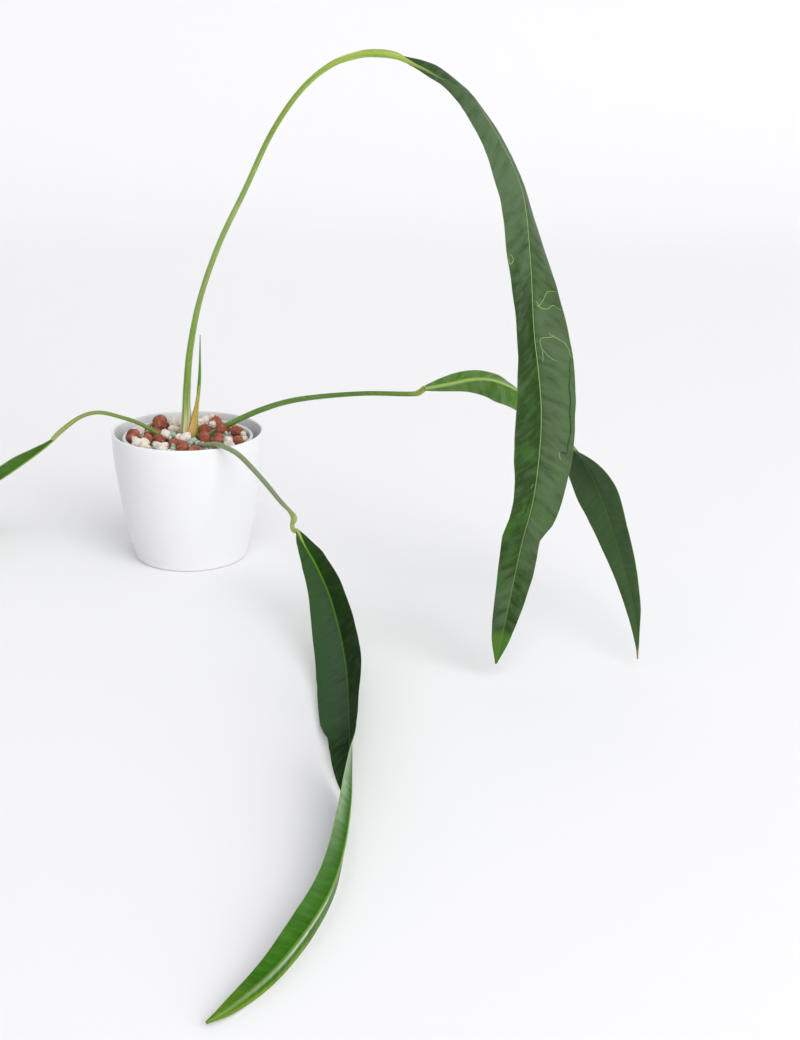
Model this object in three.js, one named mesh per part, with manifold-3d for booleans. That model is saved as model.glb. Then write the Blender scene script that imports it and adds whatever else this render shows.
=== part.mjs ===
// Potted Anthurium pallidiflorum: four strap leaves on long stalks, in loose mineral mix, in a
// thin grow pot that stands inside a smooth white outer pot. Millimetres, +Z up, front to -Y.
// The origin is the middle of the outer pot's base, on the surface that it stands on.
import * as THREE from 'three';
import { mergeVertices } from 'three/addons/utils/BufferGeometryUtils.js';
import Module from 'manifold-3d';

const wasm = await Module();
wasm.setup();

// Driving dimensions
const CLEARANCE = 0.3;
const POT_HEIGHT = 132;
const RIM_RADIUS = 76;
const BASE_RADIUS = 56.5;
const POT_BELLY = 1.7;
const POT_WALL = 2.6;
const POT_FLOOR = 4;
const BASE_EDGE = 2.5;
const GROW_POT_RIM_Z = POT_HEIGHT - 6;
const GROW_POT_LIP_RADIUS = 65.4;
const GROW_POT_TOP_RADIUS = 63.2;
const GROW_POT_BASE_RADIUS = 46;
const GROW_POT_LIP_HEIGHT = 2.5;
const GROW_POT_WALL = 1.2;
const DRAIN_RADIUS = 5;
const DRAIN_RING = 30;
const DRAIN_COUNT = 5;
const BED_TOP = 120;
const CROWN_RADIUS = 12;
const CROWN_TOP = BED_TOP + 1.5;
const ROOT_COUNT = 5;
const BLADE_THICKNESS = 1.4;
const EDGE_THICKNESS = 0.7;
const MIDRIB_THICKNESS = 2.6;

// How finely the round and the long pieces are divided
const POT_SIDES = 48;
const STALK_SIDES = 7;
const STEPS_PER_POINT = 2;

const WHITE_PLASTIC = { color: '#f2f2f0', roughness: 0.38 };
const CLOUDED_PLASTIC = { color: '#dfe1df', roughness: 0.45 };
const MIX = { color: '#8a6a55', roughness: 0.95 };
const BARK = { color: '#6d6a3c', roughness: 0.8 };
const STALK_GREEN = { color: '#7f9a3e', roughness: 0.5 };
const BLADE_GREEN = { color: '#3f6336', roughness: 0.45 };
const DARK_BLADE_GREEN = { color: '#24401f', roughness: 0.55 };
const SHEATH_ORANGE = { color: '#c98a4b', roughness: 0.7 };
const CLAY = { color: '#9b4a34', roughness: 0.92 };
const PUMICE = { color: '#d9cdbb', roughness: 0.95 };
const ZEOLITE = { color: '#a9c9b2', roughness: 0.9 };

const plant = new THREE.Group();

function addPart(name, geometry, finish) {
  const mesh = new THREE.Mesh(geometry, new THREE.MeshStandardMaterial({ ...finish, metalness: 0 }));
  mesh.name = name;
  plant.add(mesh);
}

// Closes a ring in a zigzag from side to side, which keeps thin end caps free of slivers.
function capTriangles(sides) {
  const triangles = [];
  let low = 0;
  let high = sides - 1;
  while (high - low > 1) {
    triangles.push([low, low + 1, high]);
    low += 1;
    if (high - low > 1) {
      triangles.push([low, high - 1, high]);
      high -= 1;
    }
  }
  return triangles;
}

// A closed skin over a row of rings that all have the same number of points. The second half of
// each ring is split along the other diagonal, so that a thin blade's two faces stay parallel.
function skin(rings) {
  const sides = rings[0].length;
  const lastRing = (rings.length - 1) * sides;
  const index = [];
  for (let i = 0; i + 1 < rings.length; i += 1) {
    for (let j = 0; j < sides; j += 1) {
      const a = i * sides + j;
      const b = i * sides + ((j + 1) % sides);
      if (j < sides / 2) {
        index.push(a, b, b + sides, a, b + sides, a + sides);
      } else {
        index.push(a, b, a + sides, b, b + sides, a + sides);
      }
    }
  }
  for (const [a, b, c] of capTriangles(sides)) {
    index.push(a, c, b);
    index.push(lastRing + a, lastRing + b, lastRing + c);
  }
  const geometry = new THREE.BufferGeometry();
  const positions = rings.flat().flatMap((point) => point.toArray());
  geometry.setAttribute('position', new THREE.Float32BufferAttribute(positions, 3));
  geometry.setIndex(index);
  return geometry;
}

function curveThrough(points) {
  return new THREE.CatmullRomCurve3(points, false, 'catmullrom', 0.5);
}

// A round stalk: each guide point is [x, y, z, radius].
function stalk(guide, sides = STALK_SIDES) {
  const path = curveThrough(guide.map(([x, y, z]) => new THREE.Vector3(x, y, z)));
  const size = curveThrough(guide.map((point) => new THREE.Vector3(point[3], 0, 0)));
  const steps = (guide.length - 1) * STEPS_PER_POINT;
  const rings = [];
  let side = new THREE.Vector3(0, 1, 0);
  for (let i = 0; i <= steps; i += 1) {
    const t = i / steps;
    const tangent = path.getTangent(t);
    side = side.clone().addScaledVector(tangent, -side.dot(tangent)).normalize();
    const other = new THREE.Vector3().crossVectors(tangent, side);
    const centre = path.getPoint(t);
    const radius = size.getPoint(t).x;
    const ring = [];
    for (let j = 0; j < sides; j += 1) {
      const angle = (2 * Math.PI * j) / sides;
      ring.push(centre.clone()
        .addScaledVector(side, radius * Math.cos(angle))
        .addScaledVector(other, radius * Math.sin(angle)));
    }
    rings.push(ring);
  }
  return skin(rings);
}

// A leaf blade: each guide point is [x, y, z, half width, turn, fold]. Turn is the angle of the
// upper face about the midrib, away from the leaf's facing direction, and fold is how far each
// half rises from flat towards the upper face, both in degrees.
function blade(guide, facing) {
  const path = curveThrough(guide.map(([x, y, z]) => new THREE.Vector3(x, y, z)));
  const shape = curveThrough(guide.map((point) => new THREE.Vector3(point[3], point[4], point[5])));
  const steps = (guide.length - 1) * STEPS_PER_POINT;
  const rings = [];
  for (let i = 0; i <= steps; i += 1) {
    const t = i / steps;
    const tangent = path.getTangent(t);
    const state = shape.getPoint(t);
    const face = facing.clone().addScaledVector(tangent, -facing.dot(tangent)).normalize();
    face.applyAxisAngle(tangent, THREE.MathUtils.degToRad(state.y));
    const across = new THREE.Vector3().crossVectors(face, tangent);
    const fold = THREE.MathUtils.degToRad(state.z);
    const centre = path.getPoint(t);
    const at = (share, lift) => centre.clone()
      .addScaledVector(across, share * state.x * Math.cos(fold))
      .addScaledVector(face, Math.abs(share) * state.x * Math.sin(fold) + lift);
    const half = BLADE_THICKNESS / 2;
    const rib = MIDRIB_THICKNESS / 2;
    const edge = EDGE_THICKNESS / 2;
    rings.push([at(-1, -edge), at(-0.5, -half), at(0, -rib), at(0.5, -half), at(1, -edge),
      at(1, edge), at(0.5, half), at(0, half), at(-0.5, half), at(-1, edge)]);
  }
  return skin(rings);
}

// A solid of revolution about Z from [radius, z] points that start and end on the axis.
function turned(profile, sides = POT_SIDES) {
  const outline = profile.map(([radius, z]) => new THREE.Vector2(radius, z));
  return new THREE.LatheGeometry(outline, sides).rotateX(Math.PI / 2);
}

function toSolid(geometry) {
  const bare = geometry.clone();
  bare.deleteAttribute('normal');
  bare.deleteAttribute('uv');
  const merged = mergeVertices(bare, 1e-4);
  return new wasm.Manifold(new wasm.Mesh({
    numProp: 3,
    vertProperties: new Float32Array(merged.attributes.position.array),
    triVerts: new Uint32Array(merged.index.array),
  }));
}

function toGeometry(solid) {
  const mesh = solid.getMesh();
  const geometry = new THREE.BufferGeometry();
  geometry.setAttribute('position', new THREE.BufferAttribute(mesh.vertProperties, 3));
  geometry.setIndex(new THREE.BufferAttribute(mesh.triVerts, 1));
  return geometry;
}

// Outer pot: a gentle belly that is steeper low down and nearly upright at the rim.
function potRadius(z) {
  return BASE_RADIUS + (RIM_RADIUS - BASE_RADIUS) * (1 - (1 - z / POT_HEIGHT) ** POT_BELLY);
}

function outerPot() {
  const profile = [[0, 0], [BASE_RADIUS - BASE_EDGE, 0], [BASE_RADIUS, BASE_EDGE * 0.6]];
  const bands = 6;
  const rimRound = 1;
  for (let i = 1; i <= bands; i += 1) {
    const z = (POT_HEIGHT - rimRound) * (i / bands);
    profile.push([potRadius(z), z]);
  }
  profile.push([RIM_RADIUS - rimRound, POT_HEIGHT], [RIM_RADIUS - POT_WALL + rimRound / 2, POT_HEIGHT]);
  for (let i = bands - 1; i >= 0; i -= 1) {
    const z = POT_FLOOR + (POT_HEIGHT - POT_FLOOR - rimRound) * (i / (bands - 1));
    profile.push([potRadius(z) - POT_WALL, z]);
  }
  profile.push([0, POT_FLOOR]);
  return turned(profile);
}

// Grow pot: a thin cup with a small lip, and drain holes in its floor.
const growPotBase = POT_FLOOR + CLEARANCE;
const growPotFloor = growPotBase + 1.5;

function growPotInside(z) {
  const share = (z - growPotBase) / (GROW_POT_RIM_Z - growPotBase);
  return GROW_POT_BASE_RADIUS + (GROW_POT_TOP_RADIUS - GROW_POT_BASE_RADIUS) * share - GROW_POT_WALL;
}

function growPot() {
  const lipZ = GROW_POT_RIM_Z - GROW_POT_LIP_HEIGHT;
  let cup = toSolid(turned([
    [0, growPotBase],
    [GROW_POT_BASE_RADIUS, growPotBase],
    [growPotInside(lipZ) + GROW_POT_WALL, lipZ],
    [GROW_POT_LIP_RADIUS, lipZ],
    [GROW_POT_LIP_RADIUS, GROW_POT_RIM_Z],
    [growPotInside(GROW_POT_RIM_Z), GROW_POT_RIM_Z],
    [growPotInside(growPotFloor), growPotFloor],
    [0, growPotFloor],
  ], 40));
  for (let i = 0; i < DRAIN_COUNT; i += 1) {
    const angle = (2 * Math.PI * i) / DRAIN_COUNT;
    const drill = new THREE.CylinderGeometry(DRAIN_RADIUS, DRAIN_RADIUS, 10, 10).rotateX(Math.PI / 2);
    drill.translate(DRAIN_RING * Math.cos(angle), DRAIN_RING * Math.sin(angle), growPotBase);
    cup = cup.subtract(toSolid(drill));
  }
  return toGeometry(cup);
}

// Crown and roots: the short stem that carries the leaves, and the roots that hold it.
function crownAndRoots(extra) {
  let solid = toSolid(turned([
    [0, 72 - extra],
    [7 + extra, 74 - extra],
    [11 + extra, 90],
    [CROWN_RADIUS + extra, 110],
    [CROWN_RADIUS + extra, CROWN_TOP + 6 * extra],
    [0, CROWN_TOP + 6 * extra],
  ], 16));
  for (let i = 0; i < ROOT_COUNT; i += 1) {
    const angle = (2 * Math.PI * (i + 0.3)) / ROOT_COUNT;
    const reach = (radius, z, thick) => [
      radius * Math.cos(angle + radius / 90), radius * Math.sin(angle + radius / 90), z, thick + extra,
    ];
    const root = stalk([
      reach(6, 100, 3.4),
      reach(20, 88 - 3 * i, 3),
      reach(34, 62 - 2 * i, 2.5),
      reach(38, 30 + 2 * i - extra, 1.6),
    ], 6);
    solid = solid.add(toSolid(root));
  }
  return solid;
}

function substrateBed() {
  const bottom = growPotFloor + CLEARANCE;
  const body = toSolid(turned([
    [0, bottom],
    [growPotInside(bottom) - CLEARANCE, bottom],
    [growPotInside(BED_TOP) - CLEARANCE, BED_TOP],
    [0, BED_TOP],
  ], 40));
  return toGeometry(body.subtract(crownAndRoots(2 * CLEARANCE)));
}

addPart('outer_pot', outerPot(), WHITE_PLASTIC);
addPart('grow_pot', growPot(), CLOUDED_PLASTIC);
addPart('substrate_bed', substrateBed(), MIX);
addPart('crown_and_roots', toGeometry(crownAndRoots(0)), BARK);

// Leaf stalks: [x, y, z, radius], from the crown to the thick joint below each blade.
const STALK_A = [
  [0, 0, 122.2, 4.6], [1, -2, 146, 4.2], [2, -5, 174, 3.7], [7, -14, 217, 3.4], [20, -28, 270, 3.1],
  [42, -48, 326, 3], [70, -72, 380, 2.9], [96, -97, 431, 2.7], [123, -120, 469, 2.6],
  [150, -137, 492, 2.7], [175, -147, 501.5, 3.2], [192, -152, 503, 3.5], [205.7, -154.6, 501.5, 3.2],
];
const STALK_B = [
  [9.5, 2.5, 124.6, 2.5], [20, 3, 126, 2.7], [30, 3.5, 131, 2.8], [41, 4, 138, 2.8], [75, 0, 156, 2.7],
  [114, -10, 171, 2.5], [174, -32, 182, 2.4], [222, -49, 187, 2.7], [231, -52, 189.5, 3.3],
  [237.3, -54.8, 192.7, 3],
];
const STALK_C = [
  [6, -7, 124.6, 2.5], [9.3, -17, 125.5, 2.6], [14, -30, 127.5, 2.6], [22, -50, 132.5, 2.7],
  [35, -62, 137, 2.7], [47, -74, 137, 2.6], [62, -84, 132, 2.5], [85, -108, 115, 2.4],
  [103, -128, 101, 2.4], [114, -140, 94, 3], [118, -147, 88, 3.5], [119.8, -149.8, 81.6, 2.9],
];
const STALK_D = [
  [-8, -3, 124.2, 2.1], [-16, -8, 127, 2.2], [-28, -15, 133, 2.2], [-36, -14, 137, 2.2],
  [-48, -12, 143, 2.1], [-61, -8, 146, 2.1], [-88, 0, 149, 2.1], [-109, 4, 142, 2.2],
  [-129, 6, 127, 2.6], [-138.7, 6.4, 117.6, 2.5],
];

addPart('petiole_a', stalk(STALK_A), STALK_GREEN);
addPart('petiole_b', stalk(STALK_B), STALK_GREEN);
addPart('petiole_c', stalk(STALK_C), STALK_GREEN);
addPart('petiole_d', stalk(STALK_D), STALK_GREEN);

// Leaf blades: [x, y, z, half width, turn, fold]. A hangs at the right, B crosses behind it and
// hangs, C lies along the surface in front with a half twist, D arches down to the left.
const BLADE_A = [
  [207, -155, 501, 4.5, -80, -40], [234, -165, 490, 12, -74, -26], [255, -172, 479, 16, -73, -18],
  [272, -180, 466, 19, -70, -17], [293, -195, 436, 22, -66, -16], [311, -212, 398, 25, -61, -16],
  [318, -232, 347, 29, -50, 0], [322, -250, 293, 31, -39, 19], [327, -259, 257, 31.5, -34, 19],
  [330, -266, 225, 31, -31, 16], [329, -273, 189, 29.5, -28, 14], [325, -280, 154, 26, -26, 11],
  [318, -285, 124, 19.5, -20, 5], [312, -290, 92, 16, -15, 5], [304, -294, 44, 10, -12, 5],
  [299, -296, 15, 0.9, -10, 25],
];
const BLADE_B = [
  [238, -55, 193, 3, 172, 20], [261, -64, 200, 10, 170, 32], [280, -72, 206, 13, 150, 30],
  [294, -79, 208, 15, 135, 29], [307, -87, 207, 17, 122, 30], [324, -98, 201, 19, 106, 26],
  [344, -112, 188, 20, 90, 28], [362, -126, 171, 21, 74, 34], [383, -150, 150, 21, 52, 28],
  [396, -178, 126, 20, 32, 14], [406, -201, 100, 17, 32, 10], [416, -226, 68, 11.5, 30, 7],
  [422, -244, 44, 7, 28, 6], [424, -258, 22, 3, 28, 6], [424, -266, 8, 0.9, 28, 25],
];
const BLADE_C = [
  [120, -150, 81, 3, -10, 10], [128, -160, 68, 9, 5, 12], [140, -182, 57, 14, 25, 25],
  [154, -219, 43, 19.5, 32, 28], [165, -267, 30, 24, 42, 20], [173, -319, 20, 26.5, 46, 20],
  [177, -372, 14, 26, 51, 25], [181, -445, 15.5, 22, 63, 26], [183, -498, 19.5, 18, 84, 14],
  [184, -539, 17.5, 15, 99, 14], [182, -592, 15.5, 13.5, 108, 22], [176, -637, 13.5, 12.5, 114, 28],
  [164, -677, 12, 11.5, 114, 22], [147, -714, 10, 9.8, 130, 30], [125, -750, 6, 6, 160, 15],
  [114, -756.5, 4.2, 0.9, 176, 25],
];
const BLADE_D = [
  [-139, 6.5, 117.3, 3, 10, 15], [-152, 8, 106, 9, 10, 25], [-170, 11, 92, 15, 8, 28],
  [-196, 16, 73, 19.5, 5, 28], [-228, 23, 52, 22.5, 0, 26], [-262, 31, 33, 24, -6, 24],
  [-298, 39, 17, 23.5, -10, 22], [-335, 47, 9, 21, -12, 20], [-370, 53, 6, 16.5, -8, 18],
  [-402, 57, 4.5, 11, -4, 14], [-430, 59, 3.5, 5.5, 0, 8], [-446, 60, 3, 0.9, 0, 25],
];
const FRONT = new THREE.Vector3(0, -1, 0);
const UP = new THREE.Vector3(0, 0, 1);

addPart('blade_a', blade(BLADE_A, FRONT), BLADE_GREEN);
addPart('blade_b', blade(BLADE_B, FRONT), BLADE_GREEN);
addPart('blade_c', blade(BLADE_C, UP), DARK_BLADE_GREEN);
addPart('blade_d', blade(BLADE_D, UP), BLADE_GREEN);

// The dry sheath that clasps the tall stalk's foot, and the rolled spear of a new leaf.
const SHEATH = [
  [3.4, -5.5, 122.8, 5, 20, -20], [5.6, -6.3, 133, 4.6, 25, -20], [8.4, -4.6, 146, 3.8, 30, -20],
  [10.6, -3.4, 160, 2.4, 35, -20], [13, -2, 179, 0.8, 40, -10],
];
const SPEAR = [
  [7.6, 6.4, 121.8, 1.7], [9, 6, 150, 1.6], [13, 3.5, 186, 1.3], [15, 1, 229, 0.4],
];
addPart('sheath', blade(SHEATH, FRONT), SHEATH_ORANGE);
addPart('new_leaf_spear', stalk(SPEAR, 6), DARK_BLADE_GREEN);

// Loose top layer: [x, y, radius] of each granule that rests on the bed.
const CLAY_BALLS = [
  [-34.5, 41.5, 7], [-31, 28.5, 5.4], [-53, -15, 5.2], [-34, 6, 5.6], [-25, -22, 5.4],
  [-37.5, -22.5, 5.6], [1, -49, 5.6], [13.5, -54, 5.4], [19, -16, 5.4], [14, 13, 5.4],
  [22, 50, 5.6], [34, 22, 5.4], [49, 13, 5.2], [33, -23, 5.6], [52.5, -19.5, 5.4],
  [-10, -30, 5.2], [24, 31, 5.2],
];
const PUMICE_LUMPS = [
  [-19, 39, 6.6], [-18, 17, 5.2], [-50, 10, 5.2], [-46, -32, 5.2], [-37, -41, 4.8],
  [-18, -53, 5.2], [-1, -17, 6.2], [-24.5, -4.5, 5], [10, 55, 4.8], [5, 43, 5.4],
  [45, -33, 5.2], [57, -4, 3.6], [23, 19.5, 3.2],
];
const ZEOLITE_CHIPS = [
  [-12, -13.5, 2.8], [-29.5, -49.5, 2.9], [-26, -42, 3], [-7, -44, 2.8], [14, -39, 2.6],
  [42, -7.5, 3], [27, -9, 2.9], [-20, -34, 3.2], [6.5, -38, 2.9], [-45, -2, 2.8],
];

// A lump's surface moves in and out by a smooth wave, so that no two are alike.
function lump(radius, roughness, seed, detail) {
  const geometry = new THREE.IcosahedronGeometry(radius, detail);
  const place = geometry.attributes.position;
  const point = new THREE.Vector3();
  for (let i = 0; i < place.count; i += 1) {
    point.fromBufferAttribute(place, i);
    const wave = Math.sin(1.9 * point.x / radius + seed)
      + Math.sin(2.3 * point.y / radius + 2 * seed)
      + Math.sin(2.7 * point.z / radius + 3 * seed);
    point.multiplyScalar(1 - roughness * (wave + 3) / 6);
    place.setXYZ(i, point.x, point.y, point.z);
  }
  geometry.deleteAttribute('normal');
  geometry.deleteAttribute('uv');
  return mergeVertices(geometry, 1e-4);
}

function addGranules(prefix, list, roughness, detail, finish) {
  list.forEach(([x, y, radius], i) => {
    const geometry = lump(radius, roughness, i + 1, detail);
    geometry.computeBoundingBox();
    const lift = BED_TOP + CLEARANCE - geometry.boundingBox.min.z;
    addPart(`${prefix}_${String(i + 1).padStart(2, '0')}`, geometry.translate(x, y, lift), finish);
  });
}

addGranules('clay_ball', CLAY_BALLS, 0.06, 1, CLAY);
addGranules('pumice_lump', PUMICE_LUMPS, 0.22, 1, PUMICE);
addGranules('zeolite_chip', ZEOLITE_CHIPS, 0.25, 0, ZEOLITE);

export default plant;
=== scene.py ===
import math
import random
from functools import partial
from types import SimpleNamespace

import bmesh
import bpy
import numpy as np
from mathutils import Matrix, Vector, noise


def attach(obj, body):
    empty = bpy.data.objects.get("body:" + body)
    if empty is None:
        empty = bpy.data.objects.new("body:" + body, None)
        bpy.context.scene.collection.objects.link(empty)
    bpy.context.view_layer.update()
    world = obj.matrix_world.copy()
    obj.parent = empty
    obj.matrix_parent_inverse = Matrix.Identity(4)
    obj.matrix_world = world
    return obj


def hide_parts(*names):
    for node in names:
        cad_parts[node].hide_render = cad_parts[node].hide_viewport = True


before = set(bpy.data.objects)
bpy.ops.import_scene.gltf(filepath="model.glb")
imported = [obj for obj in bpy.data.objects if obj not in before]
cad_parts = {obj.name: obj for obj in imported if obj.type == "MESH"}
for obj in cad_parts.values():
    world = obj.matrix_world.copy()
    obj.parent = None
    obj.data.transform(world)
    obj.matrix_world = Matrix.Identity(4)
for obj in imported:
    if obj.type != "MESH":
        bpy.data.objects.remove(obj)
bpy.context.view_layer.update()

MM = 0.001

# The pots' sizes in millimetres.
POT_HEIGHT = 132
RIM_RADIUS = 76
BASE_RADIUS = 56.5
POT_BELLY = 1.7
POT_WALL = 2.6
POT_FLOOR = 4
GROW_POT_RIM_Z = 126
GROW_POT_LIP_RADIUS = 65.4
GROW_POT_TOP_RADIUS = 63.2
GROW_POT_BASE_RADIUS = 46
GROW_POT_WALL = 1.2
LIP_HEIGHT = 2.5
DRAIN_COUNT = 5
DRAIN_RADIUS = 5
DRAIN_RING = 30
BED_TOP = 120

# Each point is x, y, z and the stalk's radius there, in millimetres.
STALK_A = [
    (-2.5, 0, 122.2, 4.8), (-0.5, -2, 146, 4.7), (1.3, -5, 174, 4.1), (7, -14, 217, 3.6),
    (20, -28, 270, 3.1), (42, -48, 326, 3), (70, -72, 380, 2.9), (96, -97, 431, 2.7),
    (123, -120, 469, 2.6), (150, -137, 492, 2.7), (175, -147, 501.5, 3.2),
    (192, -152, 503, 3.5), (205.7, -154.6, 501.5, 3.2),
]
# The stalk's end runs on into the blade as the start of its midrib.
STALK_A_END = [
    (214, -157.8, 498, 2), (224, -161.6, 493.6, 1.2), (236, -166.2, 488.2, 0.7), (250, -170.6, 481.4, 0.35),
]
STALK_B = [
    (9.5, 2.5, 124.6, 2.5), (20, 3, 126, 2.7), (30, 3.5, 130.5, 2.9), (41, 4, 137, 3.1),
    (75, 0, 154.2, 3), (114, -10, 168.2, 2.8), (174, -32, 180.6, 2.4), (222, -49, 185.4, 2.5),
    (231.5, -52, 187.6, 3), (237.3, -54.8, 192.7, 3),
]
STALK_C = [
    (6, -7, 124.6, 2.5), (9.3, -17, 125.5, 2.6), (14, -30, 126.5, 2.6), (22, -50, 130.7, 2.7),
    (35, -62, 135.2, 2.7), (47, -74, 135.8, 2.6), (62, -84, 130.2, 2.6), (85, -108, 115, 2.4),
    (103, -128, 101, 2.2), (112.5, -138.5, 95, 2), (117.3, -146, 90.3, 3), (115.8, -148.2, 84.4, 2.1),
    (117.2, -149.6, 79.9, 2.4), (120.8, -151.6, 78.9, 2.2), (125, -157, 73, 1.3), (131, -166, 65.2, 0.4),
]
STALK_D = [
    (-8, -3, 124.2, 2.1), (-16, -8, 127, 2.2), (-28, -15, 132.2, 2.2), (-36, -14, 136, 2.2),
    (-48, -12, 141.6, 2.1), (-61, -8, 144.7, 2.1), (-88, 0, 148.3, 2.1), (-109, 4, 142, 2.2),
    (-129, 6, 127, 2.6), (-138.7, 6.4, 117.6, 2.5),
]
SPEAR = [(7.6, 6.4, 121.8, 1.7), (9, 6, 150, 1.6), (13, 3.5, 186, 1.3), (15, 1, 229, 0.4)]

# Each point is x, y, z, half the blade's width, its turn and its fold, in millimetres and degrees.
BLADE_A = [
    (207, -155, 501, 4.5, -20, -30), (234, -165, 490, 12, -30, -26),
    (255, -172, 479, 16, -50, -18), (272, -180, 466, 19, -66, -17),
    (293, -195, 436, 22, -66, -16), (311, -212, 398, 25, -61, -16),
    (318, -232, 347, 29, -50, 0), (322, -250, 293, 31, -39, 19),
    (327, -259, 257, 31.5, -34, 19), (330, -266, 225, 31, -31, 16),
    (329, -273, 189, 29.5, -28, 14), (325, -280, 154, 26, -26, 11),
    (318, -285, 124, 19.5, -20, 5), (312, -290, 92, 16, -15, 5),
    (304, -294, 44, 10, -12, 5), (299, -296, 15, 0.9, -10, 25),
]
BLADE_B = [
    (238, -55, 193, 3, 172, 20), (261, -64, 200, 10, 170, 32), (280, -72, 206, 13, 150, 30),
    (294, -79, 208, 15, 135, 29), (307, -87, 207, 17, 122, 30), (324, -98, 201, 19, 106, 26),
    (344, -112, 188, 20, 90, 28), (362, -126, 171, 21, 74, 34), (383, -150, 150, 21, 52, 28),
    (396, -178, 126, 20, 32, 14), (406, -201, 100, 17, 32, 10), (416, -226, 68, 11.5, 30, 7),
    (422, -244, 44, 7, 28, 6), (424, -258, 22, 3, 28, 6), (424, -266, 8, 0.9, 28, 25),
]
BLADE_C = [
    (120, -150, 81, 3, -10, 10), (128, -160, 68, 9, 5, 12), (140, -182, 57, 14, 25, 25),
    (154, -219, 43, 19.5, 32, 28), (165, -267, 30, 24, 42, 20), (173, -319, 20, 26.5, 44, 20),
    (177, -372, 14, 26, 45, 25), (181, -445, 15.5, 22, 50, 26), (183, -498, 19.5, 18, 77, 14),
    (184, -539, 17.5, 15, 99, 14), (182, -592, 15.5, 13.5, 108, 22), (176, -637, 13.5, 12.5, 114, 28),
    (164, -677, 12, 11.5, 114, 22), (147, -714, 9, 9.2, 126, 26), (126, -744, 6, 5, 134, 20),
    (112, -759, 4.2, 0.9, 140, 25),
]
BLADE_D = [
    (-139, 6.5, 117.3, 3, 10, 15), (-152, 8, 106, 9, 10, 25), (-170, 11, 92, 15, 8, 28),
    (-196, 16, 73, 19.5, 5, 28), (-228, 23, 52, 22.5, 0, 26), (-262, 31, 33, 24, -6, 24),
    (-298, 39, 17, 23.5, -10, 22), (-335, 47, 9, 21, -12, 20), (-370, 53, 6, 16.5, -8, 18),
    (-402, 57, 4.5, 11, -4, 14), (-430, 59, 3.5, 5.5, 0, 8), (-446, 60, 3, 0.9, 0, 25),
]
SHEATH = [
    (3.4, -5.5, 122.8, 5, 20, -20), (5.6, -6.3, 133, 4.6, 25, -20),
    (8.4, -4.6, 146, 3.8, 30, -20), (10.6, -3.4, 160, 2.4, 35, -20), (13, -2, 179, 0.8, 40, -10),
]

# Each row says how far a blade's two edges reach, as shares of its guide's half width:
# millimetres along, left edge and right edge.
EDGES_A = [
    (0, 0.3, 0.6), (16, 0.27, 0.9), (31, 0.33, 0.95), (44, 0.34, 0.8), (56, 0.48, 0.72),
    (66, 0.66, 0.72), (78, 0.86, 0.9), (97, 0.99, 1.15), (118, 0.99, 1.09), (140, 1.01, 0.9),
    (164, 1.03, 1.0), (190, 1, 1.01), (219, 1.01, 0.94), (249, 1.01, 0.99), (276, 0.96, 1.01),
    (296, 0.89, 1.02), (313, 0.93, 1.02), (330, 0.99, 0.99), (346, 1.03, 0.99), (364, 1.04, 1),
    (383, 1.01, 1.01), (401, 0.92, 1.01), (419, 0.89, 1), (435, 0.91, 1.02), (450, 1.07, 0.82),
    (466, 1.03, 0.94), (483, 1, 1), (508, 0.99, 0.97), (532, 1, 0.85), (548, 1.12, 0.87),
]
EDGES_B = [
    (0, 1, 1), (200, 1.02, 1.02), (233, 1.02, 1.12), (251, 1, 1.05), (269, 0.96, 0.99),
    (290, 0.93, 1.03), (311, 0.93, 1.05), (327, 0.96, 0.95), (342, 1, 0.9), (356, 0.95, 0.72),
    (368, 0.86, 0.62), (376, 0.65, 0.55), (384, 0.55, 0.6),
]
EDGES_C = [
    (0, 0.3, 0.4), (4, 0.8, 0.86), (9, 1.02, 1.02), (18, 0.86, 0.99), (31, 0.93, 0.93), (46, 0.98, 0.91),
    (65, 0.98, 0.93), (88, 0.97, 0.95), (112, 0.99, 0.93), (139, 1.02, 0.93), (165, 1.02, 0.92),
    (192, 1.02, 0.93), (218, 1.0, 1.0), (246, 0.99, 1.06), (268, 1.01, 1), (284, 0.91, 0.96),
    (294, 0.82, 0.9), (319, 0.81, 0.85), (348, 0.88, 0.95), (372, 0.96, 1), (400, 1, 1),
]
EDGES_D = [(0, 1, 1), (90, 1.04, 0.96), (160, 0.95, 1.03), (230, 1.02, 0.97), (330, 1, 1)]

# Thin lines on leaf A's upper side, each through places in millimetres along and shares of the half width.
TRACKS_A = [
    [(244, 0.86), (244, 0.72), (244.5, 0.54), (247, 0.44), (251.5, 0.34), (256, 0.21),
     (256.5, 0.15), (257.5, 0.21), (259, 0.3), (259, 0.45), (257.5, 0.53), (256, 0.66),
     (259, 0.81), (260, 0.97)],
    [(303, 0.96), (300.5, 0.91), (295.5, 0.89), (290, 0.82), (287, 0.7), (283.5, 0.54),
     (283.5, 0.36), (283.5, 0.21), (286, 0.14), (290, 0.15), (292.5, 0.17), (297, 0.26),
     (301.5, 0.38), (304, 0.53)],
    [(292.5, 0.16), (298, 0.17), (303, 0.14)],
    [(279.5, 0.39), (282.5, 0.47), (281.5, 0.54)],
    [(253, 0.12), (254.5, 0.16), (256, 0.17)],
    [(217.5, -0.89), (217.5, -0.85), (219, -0.81), (221, -0.8), (223, -0.84), (224.5, -0.89),
     (225, -0.94), (223, -0.96), (221.5, -0.97), (220, -0.96)],
    [(375.5, 0.55), (378.5, 0.57), (382, 0.62)],
    [(403, -0.13), (407, -0.23)],
]
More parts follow.
